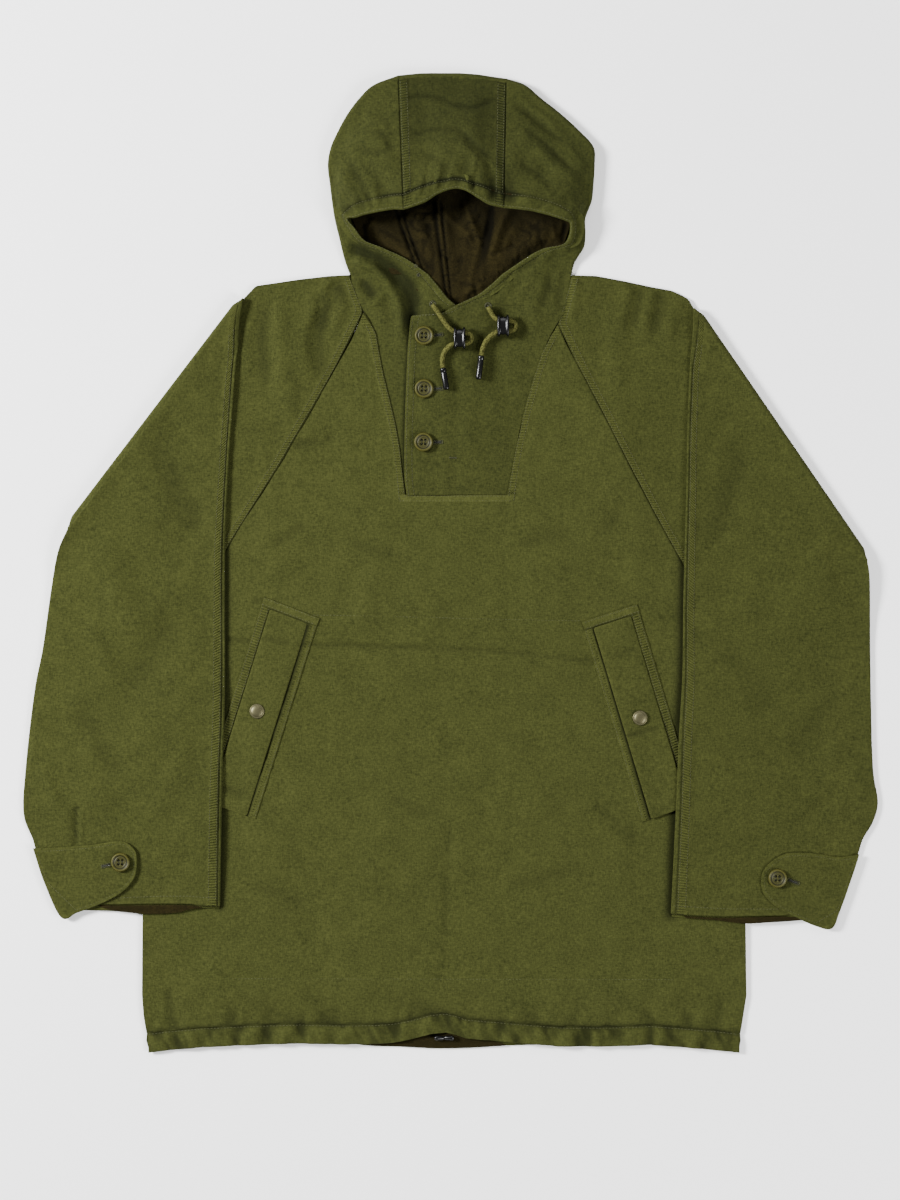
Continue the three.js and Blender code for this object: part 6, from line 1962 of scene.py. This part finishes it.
def make_sleeve(side):
    sleeve = SLEEVES[side]
    turns = np.radians(np.linspace(80, -80, 7))
    seam_line = sleeve["seam"]
    corner = lengths(sleeve["neck"])[-1] / lengths(seam_line)[-1]
    cad_shares = np.array([0, corner, 0.24, 0.37, 0.5, 0.63, 0.75, 0.87, 1])
    cad_seam = along(seam_line, cad_shares)

    def on_seam(v):
        return np.stack([np.interp(v, cad_shares, cad_seam[:, k]) for k in (0, 1)], -1)

    def on_fold(v):
        return lerp(sleeve["fold_line"][0], sleeve["fold_line"][1], np.asarray(v)[..., None])

    def closed_columns(wide):
        share = sleeve_columns(wide)
        n, sine = share.shape[1], np.sin(turns)
        inset = (HALF - HALF * np.cos(turns))[None] / np.asarray(wide).reshape(-1, 1)
        v = np.concatenate([share, 1 - inset, share[:, ::-1], inset], 1)
        bank = np.concatenate([np.ones(n), sine, -np.ones(n), -sine])
        flat = np.concatenate([np.ones(n), np.zeros(7), np.ones(n), np.zeros(7)])
        return v, HALF * bank[None], bank[None], flat[None]

    grids, values = [], []
    # unfolded, from the raglan seam to the fold
    near = np.array([0, 0.5, 1.0, 1.7, 2.7, 4.0, 5.6, 7.2, 8.0, 8.8, 10, 12])
    s = np.unique(np.concatenate([near / UNFOLDED, np.linspace(15 / UNFOLDED, 1, 38)]))

    def opened(shares):
        return patch_grid(
            on_seam,
            on_fold,
            lambda k: along(sleeve["shoulder_line"], k),
            lambda k: along(sleeve["underarm_line"], k),
            s,
            shares,
        )

    ends = opened(np.tile([0.0, 1.0], (len(s), 1)))
    wide = np.linalg.norm(ends[:, 1] - ends[:, 0], axis=-1)
    v, off, bank, flat = closed_columns(wide)
    xy = opened(v)
    x, y = xy[..., 0], xy[..., 1]
    d = s[:, None] * UNFOLDED + 0 * x
    top = (bank > 0) * flat
    puff = np.where(bank > 0, front_top(x, y) - FLAT_TOP, 0) * (s[:, None] < 1)
    edge = np.minimum(v, 1 - v) * wide[:, None]
    calm = smooth(edge / 9) * smooth((1 - s[:, None]) * UNFOLDED / 8)
    relief = undulate(x, y, 71) * 0.9 + crinkle(x, y, 16, 0.3, 74) - crinkle(x, y, 24, 0.35, 77)
    creases = fold_height(SHOULDER_CREASES, x, y) + path_folds(SHOULDER_PATHS, x, y)
    relief = kept_above(relief + creases, -1.1) * calm
    relief = relief + band_relief(d, BAND) + drawn_in(v * wide[:, None], d, BAND, 73)
    z = HALF + off + puff + top * relief
    grids.append(np.stack([x, y, z], -1))
    across = np.where(top > 0, rungs(d, BAND), 9)
    values.append(
        {
            "wear": top * (0.2 * (across < 1) + 0.05 * peak(d - BAND, 6)),
            "rung_along": v * wide[:, None],
            "rung_across": across,
            # the seam's dark line and painted shade in the bottoms of the creases
            "shade": top * np.maximum(0.4 * peak(d, 0.7), calm * hollow(creases, 5, 0.5)),
        }
    )
    shown = grids[0][:, : sleeve_columns(wide).shape[1]]
    for out in stitch_rows(BAND):
        TOPSTITCH.path(line_at(shown, d[:, : shown.shape[1]], out)[4:-3])
    # the bend
    fold_long = np.linalg.norm(sleeve["fold_line"][1] - sleeve["fold_line"][0])
    v, off, bank, flat = closed_columns([fold_long])
    line = on_fold(v[0])
    turn = np.radians(np.linspace(-78, 78, 11))[:, None]
    ends_soft = 0.2 + 0.8 * smooth(np.minimum(v, 1 - v) * fold_long / 14)
    reach = (FOLD_RADIUS - off) * np.cos(turn) * ends_soft
    z = HALF + FOLD_RADIUS + (FOLD_RADIUS - off) * np.sin(turn)
    bend = line[None] + sleeve["normal"] * reach[..., None]
    grids.append(np.concatenate([bend, z[..., None]], -1))
    zero = np.zeros(z.shape)
    soft = 0.07 * np.cos(turn) + zero
    values.append({"wear": soft, "rung_along": zero, "rung_across": zero + 9, "shade": zero})
    # folded, down to the cuff
    cuff = np.array([sleeve["over"][-1], *sleeve["cuff_upper"], sleeve["under"][-1]], float)
    lower = [(px, py - CUFF_STEP) for px, py in (sleeve["over"][-1], sleeve["under"][-1])]
    lower = np.array([lower[0], *sleeve["cuff_lower"], lower[1]], float)
    s = np.concatenate([np.linspace(0, 0.985, 196), [0.99, 0.994, 0.997, 1.0]])

    def folded(shares):
        return patch_grid(
            on_fold,
            lambda k: along(cuff, k),
            lambda k: along(sleeve["over_line"], k),
            lambda k: along(sleeve["under_line"], k),
            s,
            shares,
        )

    ends = folded(np.tile([0.0, 1.0], (len(s), 1)))
    wide = np.linalg.norm(ends[:, 1] - ends[:, 0], axis=-1)
    v, off, bank, flat = closed_columns(wide)
    xy = folded(v)
    # the under layer reaches a little further, to its own hem
    reach_on = smooth((s[:, None, None] - 0.9) / 0.1) * (along(lower, v) - along(cuff, v))
    xy = xy + reach_on * (bank > 0.5)[..., None]
    x, y = xy[..., 0], xy[..., 1]
    line = on_fold(v)
    far = np.hypot(x - line[..., 0], y - line[..., 1])
    near_fold = 1 - smooth(far / 60)
    middle = lerp(support(sleeve, x, y) + HALF, HALF + 2 * FOLD_RADIUS, near_fold)
    rise = smooth(s / 0.15)[:, None]
    puff = SLEEVE_LOFT * rise * smooth((0.87 - s) / 0.14)[:, None]
    swell = clamp(np.sin(np.pi * clamp(v))) ** 0.6
    top = (bank < 0) * flat
    edge = np.minimum(v, 1 - v) * wide[:, None]
    by_cuff = 0.35 + 0.65 * smooth((1 - s) / 0.12)
    calm = smooth(edge / 8) * by_cuff[:, None] * smooth(s * FOLDED / 10)[:, None]
    relief = undulate(x, y, 81) + crinkle(x, y, 18, 0.3, 84) - crinkle(x, y, 27, 0.4, 87)
    relief = relief + fold_height(SLEEVE_CREASES[side], x, y)
    creased = fold_height(SLEEVE_FOLDS[side], x, y) * rise
    seam_in = look(SLEEVE_SEAM_IN[side], "inset", y)
    d = v * wide[:, None] - seam_in
    s_along = s[:, None] * FOLDED + 0 * x
    seam = band_relief(d, SLEEVE_BAND) + drawn_in(s_along, d, SLEEVE_BAND, 83, 0.6)
    relief = relief * calm + seam * (v < 0.4)
    hem_d = (1 - s[:, None]) * FOLDED
    relief = relief - 0.4 * peak(hem_d - CUFF_HEM, 1.0) + 0.5 * drawn_in(v * 180, hem_d - CUFF_HEM, 0, 90)
    high = np.maximum(HALF, HALF + puff * swell + creased) + relief
    z = middle + np.where(top > 0, high, -off)
    grids.append(np.stack([x, y, z], -1))
    across = np.where((top > 0) & (v < 0.4), rungs(d, SLEEVE_BAND), 9)
    values.append(
        {
            "wear": top * (0.2 * (across < 1) + 0.12 * peak(hem_d, 2.5))
            + 0.1 * (1 - flat)
            + 0 * z,
            "rung_along": s_along,
            "rung_across": across,
            # the seam's dark line and painted shade in the bottoms of the folds and creases
            "shade": top
            * np.maximum.reduce(
                [
                    (v < 0.4) * 0.75 * peak(d, 0.9),
                    hollow(creased, 5, 0.4),
                    hollow(fold_height(SLEEVE_CREASES[side], x, y) + 1.5, 1.0, 0.6),
                ]
            ),
        }
    )
    first = shown.shape[1] + 7
    on_top = slice(first, first + shown.shape[1])
    for out in stitch_rows(SLEEVE_BAND):
        line = line_at(grids[-1][:, on_top].transpose(1, 0, 2), d[:, on_top].T, out)
        TOPSTITCH.path(line[8:-2])
    TOPSTITCH.path(grids[-1][np.argmin(np.abs(hem_d[:, 0] - CUFF_HEM)), on_top])
    # the cuff's hem, turned in
    last = grids[-1][-1]
    tucked = []
    for back, into in ((0.4, 0.5), (3, 1.0), (14, 1.1)):
        row = last + (grids[-1][-4] - last) / (FOLDED * 0.01) * back
        row[:, 2] = last[:, 2] + np.where(bank[0] > 0, 1, -1) * into * flat[0]
        tucked.append(row)
    tucked = np.array([last, *tucked])
    zero = np.zeros(tucked.shape[:2])
    sheet = Sheet()
    whole = {k: np.concatenate([g[k] for g in values]) for k in values[0]}
    sheet.add(np.concatenate(grids), closed=True, **whole)
    sheet.add(tucked, closed=True, wear=zero + 0.12)
    piece = sheet.build(f"sleeve_{side}", SLEEVE_CANVAS)
    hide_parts(f"sleeve_{side}_front", f"sleeve_{side}_back")
    return put_slot(piece)


# Hem

RUCHE = {"step": 30, "high": 3.0}


def hem_height(x, y):
    """Height of the gathered channel along the hem"""
    hem = look(HEM, "y", x, "x")
    share = clamp((y - hem) / CASING_DEEP)
    phase = 2 * math.pi * x / RUCHE["step"] + 1.4 * np.sin(x / 61) + 0.7 * (1 - share)
    swell = np.sin(np.pi * clamp(share * 0.86 + 0.14)) ** 0.6
    ruche = swell * (0.5 + RUCHE["high"] * (0.5 + 0.5 * np.sin(phase)))
    fine = 3.4 * noise(x, y * 0.4, 9, 101) + 2.0 * noise(x + 0.5 * y, y * 0.3, 4.5, 103)
    line = 0.8 * peak(share - 0.93, 0.05)
    return kept_above(front_top(x, y) + ruche + fine * swell - line, FLAT_TOP - 0.6, 0.25)


def make_hem():
    x = np.arange(-311.1, 296.7, 1.7)
    x = np.append(x, 296.6)
    share = np.concatenate([[0, 0.03, 0.08], np.linspace(0.14, 0.86, 12), [0.9, 0.94, 0.97, 1]])
    hem = look(HEM, "y", x, "x")
    gx = np.broadcast_to(x[None], (len(share), len(x)))
    wander = 2.6 * np.abs(noise(gx, 0 * gx, 13, 109)) + 1.2 * np.abs(noise(gx, 0 * gx, 5, 110))
    gy = hem[None] + CASING_DEEP * share[:, None] + share[:, None] ** 3 * wander
    z = hem_height(gx, gy)
    sheet = Sheet()
    # painted shade along the crease at the channel's top stitching and in the dips of its gathers
    line = 0.6 * peak(share[:, None] - 0.98, 0.07) * (0.6 + 0.8 * noise(gx, gy * 0, 14, 107))
    fine = noise(gx, gy * 0.4, 9, 101) + 0.7 * noise(gx + 0.5 * gy, gy * 0.3, 4.5, 103)
    dips = hollow(z - front_top(gx, gy) - 2.4, 2.6, 0.35) + hollow(fine, 0.4, 0.4)
    wear = 0.1 * (1 - share[:, None]) ** 3 + 0.05 + 0 * gx
    sheet.add(np.stack([gx, gy, z], -1), wear=wear, shade=np.minimum(0.85, line + dips))
    edge = np.stack([gx[0], gy[0], z[0]], -1)
    sheet.rim(edge, np.tile([0.0, 1.0], (len(edge), 1)), 1.6, 0.1)
    for k, way in ((0, 1.0), (-1, -1.0)):
        side = np.stack([gx[:, k], gy[:, k], z[:, k]], -1)
        sheet.rim(side, np.tile([way, 0.0], (len(side), 1)), 1.6)
    line = np.column_stack([x, hem + CASING_DEEP * 0.93])
    TOPSTITCH.path(np.column_stack([line, hem_height(line[:, 0], line[:, 1])]))
    piece = sheet.build("hem_channel", CANVAS)
    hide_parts("hem_casing")
    return put_slot(piece)


# Pocket flaps and cuff tabs

FLAPS = {
    "left": [(-185.9, -46.9), (-147.3, -61.7), (-210.1, -259.9), (-248.7, -246.7)],
    "right": [(184.9, -53.8), (146.5, -66.4), (205.9, -263), (244.1, -249.8)],
}
SNAPS = {"left": (-199.3, -151.9), "right": (194.3, -158.7)}
FLAP_CREASES = {
    "left": folds(
        [[-196, -76, -166, -82, 3, -0.6], [-240, -230, -214, -238, 5, -0.5]],
    ),
    "right": folds(
        [[179, -178, 213, -169, 2.4, -0.8], [168, -96, 190, -88, 4, -0.4]],
    ),
}
TABS = {
    "left": [
        (-430, -293), (-409.7, -292.3), (-385.8, -290.6), (-367.1, -288.9), (-348.2, -285.8),
        (-338, -285.1), (-329.6, -288.9), (-323.5, -296.5), (-322.4, -306.8), (-323.5, -318.8),
        (-327.7, -327.3), (-336.3, -336.7), (-350, -345.3), (-367.1, -352.8), (-384.2, -359),
        (-400.7, -364.3), (-418, -329),
    ],
    "right": [
        (420.1, -299.1), (399.6, -301.7), (382.5, -299.1), (365.4, -297.4), (348.4, -297.4),
        (339.9, -299.6), (329.6, -305.9), (321.1, -315.4), (318.5, -325.6), (320.2, -337.5),
        (326.2, -346.1), (336.4, -354.6), (353.5, -363.1), (374, -372.6), (391.4, -375.6),
        (400, -357.9), (413.3, -320.4),
    ],
}
CUFF_BUTTONS = {"left": (-339.2, -306.8), "right": (335.3, -323.3)}
PLACKET_BUTTONS = [(-27.6, 233.8), (-27.6, 179.4), (-28.2, 124.6)]


def flap_top(side):
    outline = np.array(FLAPS[side], float)

    def top(x, y):
        base = front_top(x, y) + STACK_GAP + FLAP_THICK
        d = inside_distance(outline, x, y)
        return base - 0.5 * peak(d, 1.4) + 0.7 * undulate(x, y, 111) + fold_height(FLAP_CREASES[side], x, y)

    return top


def tab_top(side):
    sleeve = SLEEVES[side]
    outline = np.array(TABS[side], float)

    def top(x, y):
        base = support(sleeve, x, y) + FLAT_TOP + TAB_LIFT + TAB_THICK
        d = inside_distance(outline, x, y)
        return base - 0.35 * peak(d - 3.1, 0.8) + 0.45 * undulate(x, y, 121) * smooth(d / 4)

    return top


def make_flap(side):
    outline = dense_corners(FLAPS[side])
    shape = np.array(FLAPS[side], float)

    def values(x, y):
        d = inside_distance(shape, x, y)
        folds = fold_height(FLAP_CREASES[side], x, y)
        # painted shade in the bottoms of the flap's creases
        return {"wear": 0.1 * peak(d, 2.0), "shade": hollow(folds, 0.8, 0.4)}

    sheet = Sheet()
    plate(sheet, outline, flap_top(side), FLAP_THICK, 1.9, 0.6, values=values)
    piece = sheet.build(f"flap_{side}", CANVAS)
    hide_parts(f"pocket_flap_{side}")
    return put_slot(piece)


def inner_loop(outline, inset):
    """A closed line inside an outline"""
    loop = rounded(np.vstack([outline, outline[:1]]), 3)[:-1]
    loop = loop + way_in_loop(loop) * inset
    outer = inside_distance(np.asarray(outline, float), loop[:, 0], loop[:, 1])
    loop = loop[outer > inset * 0.93]
    return np.vstack([loop, loop[:1]])


def dense_corners(corners, round_off=1.6):
    """The outline with each corner cut a little, so that it rounds"""
    corners = np.asarray(corners, float)
    out = []
    for before, here, after in zip(np.roll(corners, 1, 0), corners, np.roll(corners, -1, 0)):
        for other in (before, after):
            way = (other - here) / np.hypot(*(other - here))
            out.append(here + way * round_off)
        long = np.hypot(*(after - here))
        for k in range(1, int(long / 12)):
            out.append(here + (after - here) * k / int(long / 12))
    return np.array(out)


def make_tab(side):
    def values(x, y):
        d = inside_distance(np.array(TABS[side], float), x, y)
        return {"wear": 0.13 * peak(d, 2.2)}

    sheet = Sheet()
    plate(sheet, np.array(TABS[side], float), tab_top(side), TAB_THICK, 1.8, 0.7, values=values)
    TOPSTITCH.line(inner_loop(np.array(TABS[side], float), 3.1), tab_top(side), 3.0)
    piece = sheet.build(f"tab_{side}", SLEEVE_CANVAS)
    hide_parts(f"cuff_tab_{side}")
    return put_slot(piece)


# Buttons and snaps

HOLE = {"out": 2.6, "radius": 1.3, "deep": 1.8}


def make_button(name, node_name, at, base):
    """A four-hole button: a rolled rim, a thin ring inside it and a dished middle"""
    radius = np.concatenate([np.linspace(0, 6.2, 32), np.linspace(6.4, 9.9, 18)])
    angles = circle(72)
    r, a = np.meshgrid(radius, angles, indexing="ij")
    rim = 1.15 * peak(r - 8.3, 1.05)
    ring = 0.4 * peak(r - 5.4, 0.45)
    edge = -1.6 * smooth((r - 8.9) / 1.2) ** 2
    z = BUTTON_HIGH - 1.15 + rim + ring + edge - 0.12 * (1 - r / 5) * (r < 5)
    # painted shade and highlight: darker inside the rim, in the grooves beside the ring and down the holes,
    # so that the rim looks lit
    shade = 0.25 * (r < 7.2) + 0.8 * peak(r - 6.7, 0.55) + 0.4 * peak(r - 4.5, 0.5)
    for k in range(4):
        turn = math.pi / 4 + k * math.pi / 2
        hole_x, hole_y = HOLE["out"] * math.cos(turn), HOLE["out"] * math.sin(turn)
        away = np.hypot(r * np.cos(a) - hole_x, r * np.sin(a) - hole_y)
        hole = smooth((HOLE["radius"] + 0.25 - away) / 0.5)
        z = z - HOLE["deep"] * hole
        shade = np.maximum(shade, hole * 0.95)
    top = np.stack([r * np.cos(a), r * np.sin(a), z], -1)
    rings = [(10.0, 1.9), (9.9, 1.2), (9.2, 0.4), (7.8, 0.0), (0.0, 0.0)]
    lower = [
        np.stack([q * np.cos(angles), q * np.sin(angles), np.full(72, h)], -1) for q, h in rings
    ]
    grid = np.concatenate([top, np.array(lower)]) + np.array([at[0], at[1], base])
    dark = np.concatenate([shade, np.zeros((len(rings), 72))])
    sheet = Sheet()
    sheet.add(grid, closed=True, shade=dark)
    button = sheet.build(name, BUTTON_PLASTIC, 0.005)
    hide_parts(node_name)
    return put_slot(button)


def button_material():
    """Moulded plastic with painted highlight and shade: its rim left paler, its rings darker and its holes
    dark
    """
    material = plain("button_plastic", srgb(54, 53, 21), 0.5, 0.0, 0.15)
    tree = material.node_tree
    shade = tree.nodes.new("ShaderNodeAttribute")
    shade.attribute_name = "shade"
    mix = tree.nodes.new("ShaderNodeMix")
    mix.data_type = "RGBA"
    mix.inputs[6].default_value = srgb(54, 53, 19)
    mix.inputs[7].default_value = srgb(10, 11, 4)
    tree.links.new(shade.outputs["Fac"], mix.inputs[0])
    tree.links.new(mix.outputs[2], tree.nodes["Principled BSDF"].inputs["Base Color"])
    return material


BUTTON_PLASTIC = button_material()


def button_thread(threads, at, base, turned=0.0):
    """Thread through the four holes, as two bars side by side"""
    for k in (-1, 1):
        for shift in (-0.35, 0.35):
            a = np.array([k * 1.75 + shift, -2.1, 0])
            b = np.array([k * 1.75 + shift, 2.1, 0])
            turn = np.array([[math.cos(turned), -math.sin(turned)], [math.sin(turned), math.cos(turned)]])
            a[:2], b[:2] = turn @ a[:2], turn @ b[:2]
            centre = np.array([at[0], at[1], base + BUTTON_HIGH - 1.25])
            threads.bar(centre + a, centre + b, 0.4, 0.4)


def make_snap(side):
    """The cap of a snap: a rolled edge round a low dome"""
    x, y = SNAPS[side]

    def base(px, py):
        return front_top(px, py) + STACK_GAP + FLAP_THICK

    z = rest_on(base, x, y, SNAP_RADIUS) + SEAM_GAP
    r, h = SNAP_RADIUS, SNAP_HIGH
    profile = [
        (0, 0),
        (r - 0.5, 0),
        (r, 0.35),
        (r, 0.8),
        (r - 0.5, 1.2),
        (r - 1.0, 1.25),
        (r - 1.5, 1.1),
        (r - 1.9, 1.35),
        (r - 2.6, 1.75),
        (r - 3.6, 2.08),
        (r - 5.0, 2.3),
        (1.2, h),
        (0, h),
    ]
    snap = lathe(f"snap_{side}_cap", profile, (x, y, z), BRASS, 56)
    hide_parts(f"snap_{side}")
    return put_slot(snap)


def make_buttons():
    threads = Stitches()
    spots = [
        (f"button_{i + 1}", f"placket_button_{i + 1}", at, over_top)
        for i, at in enumerate(PLACKET_BUTTONS)
    ]
    for side in ("left", "right"):
        sleeve = SLEEVES[side]

        def base(x, y, sleeve=sleeve):
            return support(sleeve, x, y) + FLAT_TOP + TAB_LIFT + TAB_THICK

        spots.append((f"button_cuff_{side}", f"cuff_button_{side}", CUFF_BUTTONS[side], base))
    for name, node_name, at, surface in spots:
        z = rest_on(surface, at[0], at[1], BUTTON_RADIUS) + SEAM_GAP
        make_button(name, node_name, at, z)
        button_thread(threads, at, z, 0.12)
    threads.build("button_threads", DARK_THREAD, "canvas_body")


# Buttonholes, eyelets and the tack below them

BUTTONHOLES = [
    {"from": (-17.2, 234.0), "to": (-8.6, 235.0), "top": "over"},
    {"from": (-17.2, 179.2), "to": (-8.6, 179.6), "top": "over"},
    {"from": (-17.8, 124.4), "to": (-9.0, 124.8), "top": "over"},
    {"from": (-358.6, -311.4), "to": (-349.6, -309.4), "top": "left"},
    {"from": (345.8, -324.6), "to": (357.4, -328.8), "top": "right"},
]
EYELETS = [(-18.7, 266.2), (38.2, 264.4)]
SMALL_EYELETS = [(-36.2, 305.4), (-33.3, 296.3)]
TACK = [(-1.6, 108.8), (5.6, 108.4)]


def shown_top(name):
    """The surface that a buttonhole is sewn on"""
    if name in ("left", "right"):
        return tab_top(name)
    return over_shown


def over_shown(x, y):
    """Height of the placket's upper side as it is shown"""
    x, y = np.asarray(x, float), np.asarray(y, float)
    return over_top(x, y) + side_relief(x, y)


def laid_bar(threads, top, a, b, lift, wide, high):
    """A thread on a surface, between two places seen from above"""
    ends = np.array([a, b])
    z = top(ends[:, 0], ends[:, 1]) + lift
    threads.bar([*a, z[0]], [*b, z[1]], wide, high)


def make_buttonholes():
    thread, slit_shadows = Stitches(), Stitches()
    for hole in BUTTONHOLES:
        a, b = np.array(hole["from"]), np.array(hole["to"])
        top = shown_top(hole["top"])
        way = (b - a) / np.hypot(*(b - a))
        square = np.array([-way[1], way[0]])
        count = int(np.hypot(*(b - a)) / 0.85)
        for side in (-1, 1):
            for k in range(count + 1):
                at = lerp(a, b, k / count)
                inner, outer = at + square * side * 0.8, at + square * side * 2.2
                laid_bar(thread, top, inner, outer, 0.2, 0.62, 0.5)
        for end, out in ((a, -way), (b, way)):
            at = end + out * 0.4
            laid_bar(thread, top, at - square * 1.9, at + square * 1.9, 0.25, 0.8, 0.5)
        # painted shadow laid along the buttonhole's slit
        laid_bar(slit_shadows, top, a, b, 0.12, 1.9, 0.5)
    for spots, radius in ((EYELETS, 3.1), (SMALL_EYELETS, 1.7)):
        for spot in spots:
            count = int(radius * 9)
            for k in range(count):
                turn = 2 * math.pi * k / count
                ring = np.array([math.cos(turn), math.sin(turn)])
                ends = np.array(spot) + np.outer([radius * 0.55, radius * 1.25], ring)
                laid_bar(thread, cloth_shown, *ends, 0.25, 0.7, 0.45)
            across = np.array(spot) + np.array([[-radius * 0.4, 0], [radius * 0.4, 0]])
            # painted shadow laid across the eyelet's hole
            laid_bar(slit_shadows, cloth_shown, *across, 0.1, radius * 0.9, 0.4)
    a, b = np.array(TACK)
    for k in range(9):
        at = lerp(a, b, k / 8)
        ends = at + np.array([[0, -0.9], [0, 0.9]])
        laid_bar(thread, over_shown, *ends, 0.25, 0.8, 0.5)
    thread.build("buttonhole_stitches", HOLE_THREAD, "canvas_body")
    slit_shadows.build("buttonhole_slits", SLIT_SHADOW, "canvas_body")


def cloth_shown(x, y):
    """Height of the hood's top cloth beside the V, found from the points of the made mesh"""
    x, y = np.asarray(x, float), np.asarray(y, float)
    return np.array([float(HOOD_MADE.find((a, b))) for a, b in zip(x, y)])


class MadeHeight:
    """Height of the highest made cloth near a place"""

    def __init__(self, names):
        parts = []
        for name in names:
            mesh = bpy.data.objects[name].data
            flat = np.empty(len(mesh.vertices) * 3)
            mesh.vertices.foreach_get("co", flat)
            parts.append(flat.reshape(-1, 3) * 1000)
        self.points = np.concatenate(parts)

    def find(self, place):
        away = np.hypot(self.points[:, 0] - place[0], self.points[:, 1] - place[1])
        near = self.points[away < 2.6]
        if not len(near):
            near = self.points[np.argsort(away)[:4]]
        away = np.hypot(near[:, 0] - place[0], near[:, 1] - place[1])
        top = near[:, 2] > near[:, 2].max() - 3.0
        weight = peak(away[top], 1.2) + 1e-6
        return (near[top, 2] * weight).sum() / weight.sum()


TOPSTITCH = Stitches()
make_front()
make_hem()
make_hood()
make_lining()
for each_side in ("left", "right"):
    make_sleeve(each_side)
    make_flap(each_side)
    make_tab(each_side)
    make_snap(each_side)
    make_cuff_lining(each_side)
make_back()
make_hem_trim()
make_buttons()
HOOD_MADE = MadeHeight(["hood_side_left", "hood_side_right", "hood_channel"])
make_buttonholes()
TOPSTITCH.build("topstitching", THREAD, "canvas_body")
